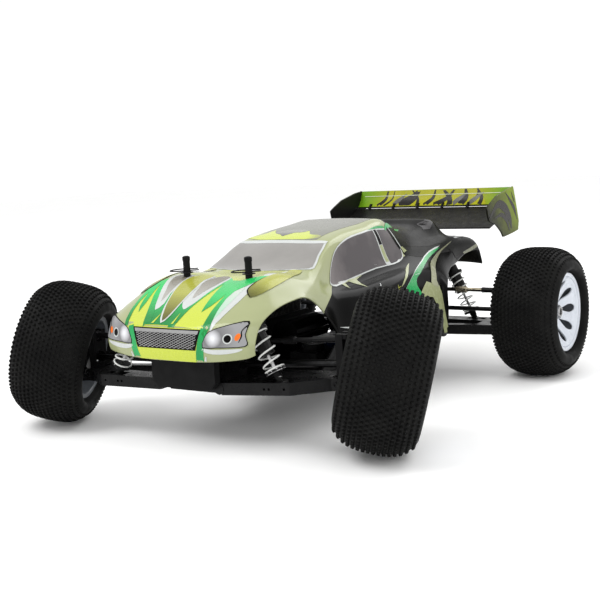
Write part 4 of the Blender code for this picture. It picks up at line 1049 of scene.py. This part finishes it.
def make_shocks():
    tube = list(TUBE_START)
    for i in range(TUBE_GROOVES):
        d = 0.0106 + i * 0.0022
        tube += [(d, 0.0067), (d + 0.0011, 0.0062)]
    tube += TUBE_END
    for corner, (side, axle_y, toward_end, _, bump) in CORNERS.items():
        end = corner.split("_")[0]
        shock = f"shock_{corner}"
        y = axle_y + toward_end * SHOCK_OFFSET
        top = Vector((side * SHOCK_TOP[end][0], y, SHOCK_TOP[end][1]))
        out = SHOCK_FOOT[end][0] - ARM_INNER_X
        up = SHOCK_FOOT[end][1] - ARM_Z[end]
        foot_x = ARM_INNER_X + out * cos(bump) - up * sin(bump)
        foot = Vector((side * foot_x, y, ARM_Z[end] + out * sin(bump) + up * cos(bump)))
        down = (foot - top).normalized()
        length = (foot - top).length
        revolve(f"damper_tube_{corner}", "nylon_gloss", shock, tube, top, down, 28)
        revolve(f"preload_collar_{corner}", "nylon", shock, COLLAR, top, down, 28, True)
        coil_end = length - COIL_TO_FOOT
        line = coil_line(top, down, coil_end, COIL_TURNS[end])
        spring = wire(f"coil_{corner}", "spring", shock, line, COIL_WIRE)
        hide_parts(f"shock_spring_{corner}")
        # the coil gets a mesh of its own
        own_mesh(spring)
        cup = [(length + d, radius) for d, radius in SPRING_CUP]
        revolve(f"spring_cup_{corner}", "nylon", f"damper_{corner}", cup, top, down, 28)


HINGE_SCREW_OFFSET = 0.016
TURNBUCKLE = mm((-27, 2.3), (-7, 2.3), (-6.4, 3.6), (6.4, 3.6), (7, 2.3), (27, 2.3))
LINK_END = mm((0, 3.4), (4, 3.4), (6, 3), (22, 3), (30, 3.2), (30.2, 2.4))
LINK_BALL = mm((-4, 1.2), (-3.6, 2.4), (-2, 3.6), (0, 4), (2, 3.6), (3.6, 2.4), (4, 1.2))
# a button head with a socket
SCREW_HEAD = mm((-1, 1), (-0.8, 2.6), (0.3, 2.6), (1, 2.236), (1.4, 1.43), (1.4, 1.092), (0.4, 1.04))


def make_links():
    for corner, (side, axle_y, _, _, bump) in CORNERS.items():
        end = corner.split("_")[0]
        link = f"upper_{corner}"
        inner = Vector((side * ARM_INNER_X, axle_y, UPPER_LINK_Z))
        along = Vector((side * cos(bump), 0, sin(bump)))
        outer = inner + along * ARM_LENGTH
        look = "brass" if end == "rear" else "dark_alloy"
        middle = (inner + outer) / 2
        made = revolve(f"turnbuckle_{corner}", look, link, TURNBUCKLE, middle, along, 6, smooth=0)
        bevel(made, 0.0002, 1)
        for place, at, way in (("in", inner, along), ("out", outer, -along)):
            revolve(f"link_end_{place}_{corner}", "nylon_gloss", link, LINK_END, at, way, 18)
            revolve(f"link_ball_{place}_{corner}", "steel", link, LINK_BALL, at, (0, 1, 0), 16)
        hinge = Vector((side * ARM_INNER_X, axle_y, ARM_Z[end])) + along * ARM_LENGTH
        for letter, way in (("a", -1), ("b", 1)):
            name = f"hinge_screw_{letter}_{corner}"
            at = hinge + Vector((0, way * HINGE_SCREW_OFFSET, 0))
            revolve(name, "dark_alloy", f"arm_{corner}", SCREW_HEAD, at, (0, way, 0), 18)


CLIP_Z = 0.1548
CLIP_RISE = 0.0003
POST_CAP = mm((0, 3.7), (3, 3.8), (4, 3.3), (4.6, 1.8))
POST_WASHER = mm((0, 4), (0, 6.2), (0.7, 6.2), (1, 5.8), (1, 4))


def make_clips():
    loop = mm((6, 10.5), (2, 3), (-4, -8), (-10, -12), (-13, -8), (-11, -2), (-4, 1), (4, 1.6), (11, 3))
    for i, (x, y) in enumerate(POSTS):
        points = [(x + a, y + b, CLIP_Z + CLIP_RISE * k) for k, (a, b) in enumerate(loop)]
        wire(f"body_clip_{i}", "steel_dark", "chassis", smooth_line(points, 6), 0.00062)
        up = (0, 0, 1)
        cap_foot = (x, y, POST_TOP - 0.0032)
        revolve(f"post_cap_{i}", "nylon", "chassis", POST_CAP, cap_foot, up, 20)
        foot = (x, y, BONNET_Z)
        revolve(f"post_washer_{i}", "nylon_gloss", "chassis", POST_WASHER, foot, up, 24, True)


# ---------------------------------------------------------------- wing


def plate_mesh(outline, thickness, corner):
    """A flat plate across X from an outline in (y, z), at x = 0, with rounded corners."""
    bm = bmesh.new()
    rounded = []
    count = len(outline)
    for i in range(count):
        here = Vector(outline[i])
        for other in (Vector(outline[i - 1]), Vector(outline[(i + 1) % count])):
            gap = (other - here).length
            rounded.append(tuple(here + (other - here) * min(corner / gap, 0.45)))
    line = smooth_line(rounded, 3, True)
    rings = [[bm.verts.new((x, y, z)) for y, z in line] for x in (-thickness / 2, thickness / 2)]
    return tube_mesh(bm, rings)


def foil_mesh(upper, lower, half, columns=24):
    """A swept section between two lines in (y, z), across X."""
    line = smooth_line(upper, 6) + smooth_line(lower[::-1], 6)
    bm = bmesh.new()
    rings = []
    for i in range(columns + 1):
        x = -half + 2 * half * i / columns
        rings.append([bm.verts.new((x, y, z)) for y, z in line])
    return tube_mesh(bm, rings)


FLAP_FRONT = mm((258, 183.8), (262.2, 188), (266.2, 194.5), (270, 204.2))
FLAP_BACK = mm((259.8, 182.8), (264.6, 187), (269, 193.5), (273.6, 203.6))


def make_wing(half):
    """The main plane, the flap with its ribs and lip, and the end plates."""
    top = mm((197.2, 160.8), (208, 164.5), (223, 169), (240, 175.2), (256.2, 181.8))
    under = mm((198, 159.2), (209, 162.2), (225, 166.4), (242, 172.8), (256.6, 180))
    made = new_piece("wing_plane", foil_mesh(top, under, half), "wing_dark", "chassis")
    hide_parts("rear_wing")
    new_piece("wing_flap", foil_mesh(FLAP_FRONT, FLAP_BACK, half), "wing_flap", "chassis")
    lip = [(x, 0.2584, 0.1832) for x in (-half, half)]
    wire("wing_lip", "nylon", "chassis", lip, 0.001)
    rib = mm((250, 177.2), (256, 179.2), (262.2, 187.6), (259, 188), (253, 181.8))
    for i in range(6):
        mesh = plate_mesh(rib, 0.0022, 0.0008)
        mesh.transform(Matrix.Translation(((i - 2.5) * 0.035, 0, 0)))
        new_piece(f"wing_rib_{i}", mesh, "nylon", "chassis", 30)
    outline = mm((188.8, 184.2), (194.2, 168.2), (212.8, 163.2), (229, 153), (236.2, 145.6), (282, 150.2),
                 (285, 162), (270, 204.4), (252.4, 203), (217, 196))
    for side, word in ((1, "left"), (-1, "right")):
        mesh = plate_mesh(outline, 0.0022, 0.003)
        mesh.transform(Matrix.Translation((side * (WING_HALF - 0.0011), 0, 0)))
        made = new_piece(f"wing_end_{word}", mesh, "wing_plate", "chassis", 30)
        bevel(made, 0.0005)


# foot, top and half width of each slash, in millimetres
SLASHES = (
    (-78, -66, 2.8), (-69, -56, 1.4), (-46, -20, 7.4), (-20, -30, 2.4), (-10, 3, 3), (4, 30, 3.4),
    (26, 14, 4), (40, 45, 4.8), (52, 62, 1.8), (67, 61, 3),
)
# line and half widths of each swirl, in millimetres
SWIRLS = (
    ([(196, 172), (220, 186), (242, 180), (256, 166), (260, 154)], (1, 4.2, 6.2, 4.6, 1)),
    ([(210, 170), (230, 173), (246, 165), (254, 152)], (0.6, 2.6, 3.4, 0.8)),
    ([(244, 199), (256, 190), (270, 178), (278, 164)], (0.4, 2, 3, 0.6)),
    ([(262, 199), (268, 190), (272, 185)], (0.4, 1.4, 0.4)),
)


def paint_wing(half):
    """Printed film on the flap, and swirls on the outer faces of the end plates."""
    tree = grid_tree([[(x * half / 12, y, z) for x in range(-12, 13)] for y, z in smooth_line(FLAP_FRONT, 6)])
    decal("wing_yellow", mm((-82, 184.6), (-62, 203.6), (64, 203.6), (76, 184.6)), "front", 0, tree=tree)
    for low, high, width in SLASHES:
        line = mm((low, 184.6), ((low + high) / 2 + 4, 193), (high, 203.6))
        stroke("wing_black", line, (width, width * 0.75, width * 0.3), "front", 1, False, tree)
    for x in (-56, 30, 52):
        stroke("wing_grey", mm((x, 185), (x + 6, 190), (x + 18, 199)), (2, 3, 0.4), "front", 2, False, tree)
    decal("wing_line", mm((-100, 196.8), (101, 197.4), (101, 198.1), (-100, 197.5)), "front", 3, tree=tree)
    for side, cast in ((1, "left"), (-1, "right")):
        face = side * WING_HALF
        corners = [[(face, y, z) for y in (0.18, 0.29)] for z in (0.14, 0.21)]
        tree = grid_tree(corners)
        for line, widths in SWIRLS:
            decal("wing_black", ribbon(mm(*line), widths), cast, 0, tree=tree)


# ---------------------------------------------------------------- CAD pieces that stay

# look, width of the bevel, how the names of the nodes start
CAD_LOOKS = (
    ("nylon", 0.0006, ("front_shock_tower", "rear_shock_tower", "wing_mount", "servo_saver")),
    ("nylon", 0.001, ("front_gearbox", "rear_gearbox")),
    ("nylon", 0.0008, ("hub_", "steering_knuckle_")),
    ("nylon", 0.0005, ("mud_guard_tray",)),
    ("nylon", 0.0015, ("front_bumper",)),
    ("nylon", 0.0002, ("tie_rod_",)),
    ("nylon", 0.0003, ("upper_link_",)),
    ("nylon_gloss", 0.0008, ("steering_servo", "lower_arm_")),
    ("nylon_gloss", 0.001, ("speed_controller",)),
    ("nylon_gloss", 0.0003, ("shock_body_",)),
    ("dark_alloy", 0.0006, ("chassis_plate",)),
    ("dark_alloy", 0.0008, ("motor",)),
    ("dark_alloy", 0.0005, ("steering_link",)),
    ("dark_alloy", 0.0002, ("front_driveshaft", "rear_driveshaft", "axle_shaft_")),
    ("dark_alloy", 0.0001, ("spur_gear",)),
    ("steel", 0.0001, ("pinion_gear",)),
    ("damper_shaft", 0.0002, ("shock_shaft_",)),
    ("battery", 0.002, ("battery_pack",)),
)


def dress_cad():
    for name, node in nodes.items():
        for look, width, starts in CAD_LOOKS:
            if name.startswith(starts):
                node.data.materials.clear()
                node.data.materials.append(mat[look])
                bevel(node, width)


# ---------------------------------------------------------------- stage

CAMERA_PLACE = (0.6166, -0.9692, 0.2611)
CAMERA_YAW = 0.5917
CAMERA_PITCH = 0.1378
CAMERA_ROLL = -0.0568
CAMERA_LENS = 63.9
SKY_STRENGTH = 1.03


def make_stage():
    bm = bmesh.new()
    bmesh.ops.create_grid(bm, x_segments=1, y_segments=1, size=6)
    n = Nodes("pale_floor", 0.9)
    n.colour(n.ramp(n.noise(3, 2), [(0.3, (0.955, 0.955, 0.952)), (0.7, (0.97, 0.97, 0.967))]))
    new_object("floor", mesh_from(bm), n.material, 0)
    world = bpy.data.worlds.new("studio")
    world.use_nodes = True
    sky = world.node_tree.nodes["Background"].inputs
    sky["Color"].default_value = (1.0, 1.0, 1.0, 1.0)
    sky["Strength"].default_value = SKY_STRENGTH
    bpy.context.scene.world = world
    for name, place, target, size, power in (
        ("key", (-0.7, -1.2, 1.8), (0, -0.05, 0.08), 1.1, 22),
        ("fill", (1.7, -0.7, 0.9), (0, 0, 0.08), 1.2, 8),
        ("back", (0.4, 1.5, 1.4), (0, 0.1, 0.1), 1.2, 12),
    ):
        data = bpy.data.lights.new(name, "AREA")
        data.size = size
        data.energy = power
        light = bpy.data.objects.new(name, data)
        light.location = place
        aim = Vector(target) - Vector(place)
        light.rotation_euler = aim.to_track_quat("-Z", "Y").to_euler()
        bpy.context.scene.collection.objects.link(light)
    bpy.context.scene.view_settings.view_transform = "Standard"


def make_camera():
    level = Vector((cos(CAMERA_YAW), sin(CAMERA_YAW), 0))
    ahead = Vector((-sin(CAMERA_YAW), cos(CAMERA_YAW), 0)) * cos(CAMERA_PITCH)
    ahead.z = -sin(CAMERA_PITCH)
    upright = level.cross(ahead)
    right = level * cos(CAMERA_ROLL) + upright * sin(CAMERA_ROLL)
    up = upright * cos(CAMERA_ROLL) - level * sin(CAMERA_ROLL)
    data = bpy.data.cameras.new("camera")
    data.lens = CAMERA_LENS
    data.sensor_width = 36
    data.clip_start = 0.01
    camera = bpy.data.objects.new("camera", data)
    turn = Matrix((right, up, -ahead)).transposed()
    camera.matrix_world = Matrix.Translation(CAMERA_PLACE) @ turn.to_4x4()
    bpy.context.scene.collection.objects.link(camera)
    bpy.context.scene.camera = camera


make_camera()
make_stage()
make_shell()
paint_nose()
paint_bonnet()
paint_cab()
paint_rear()
make_wing(WING_HALF - 0.0016)
paint_wing(WING_HALF - 0.0016)
lay_sheets()
make_wheels()
make_shocks()
make_links()
make_clips()
dress_cad()
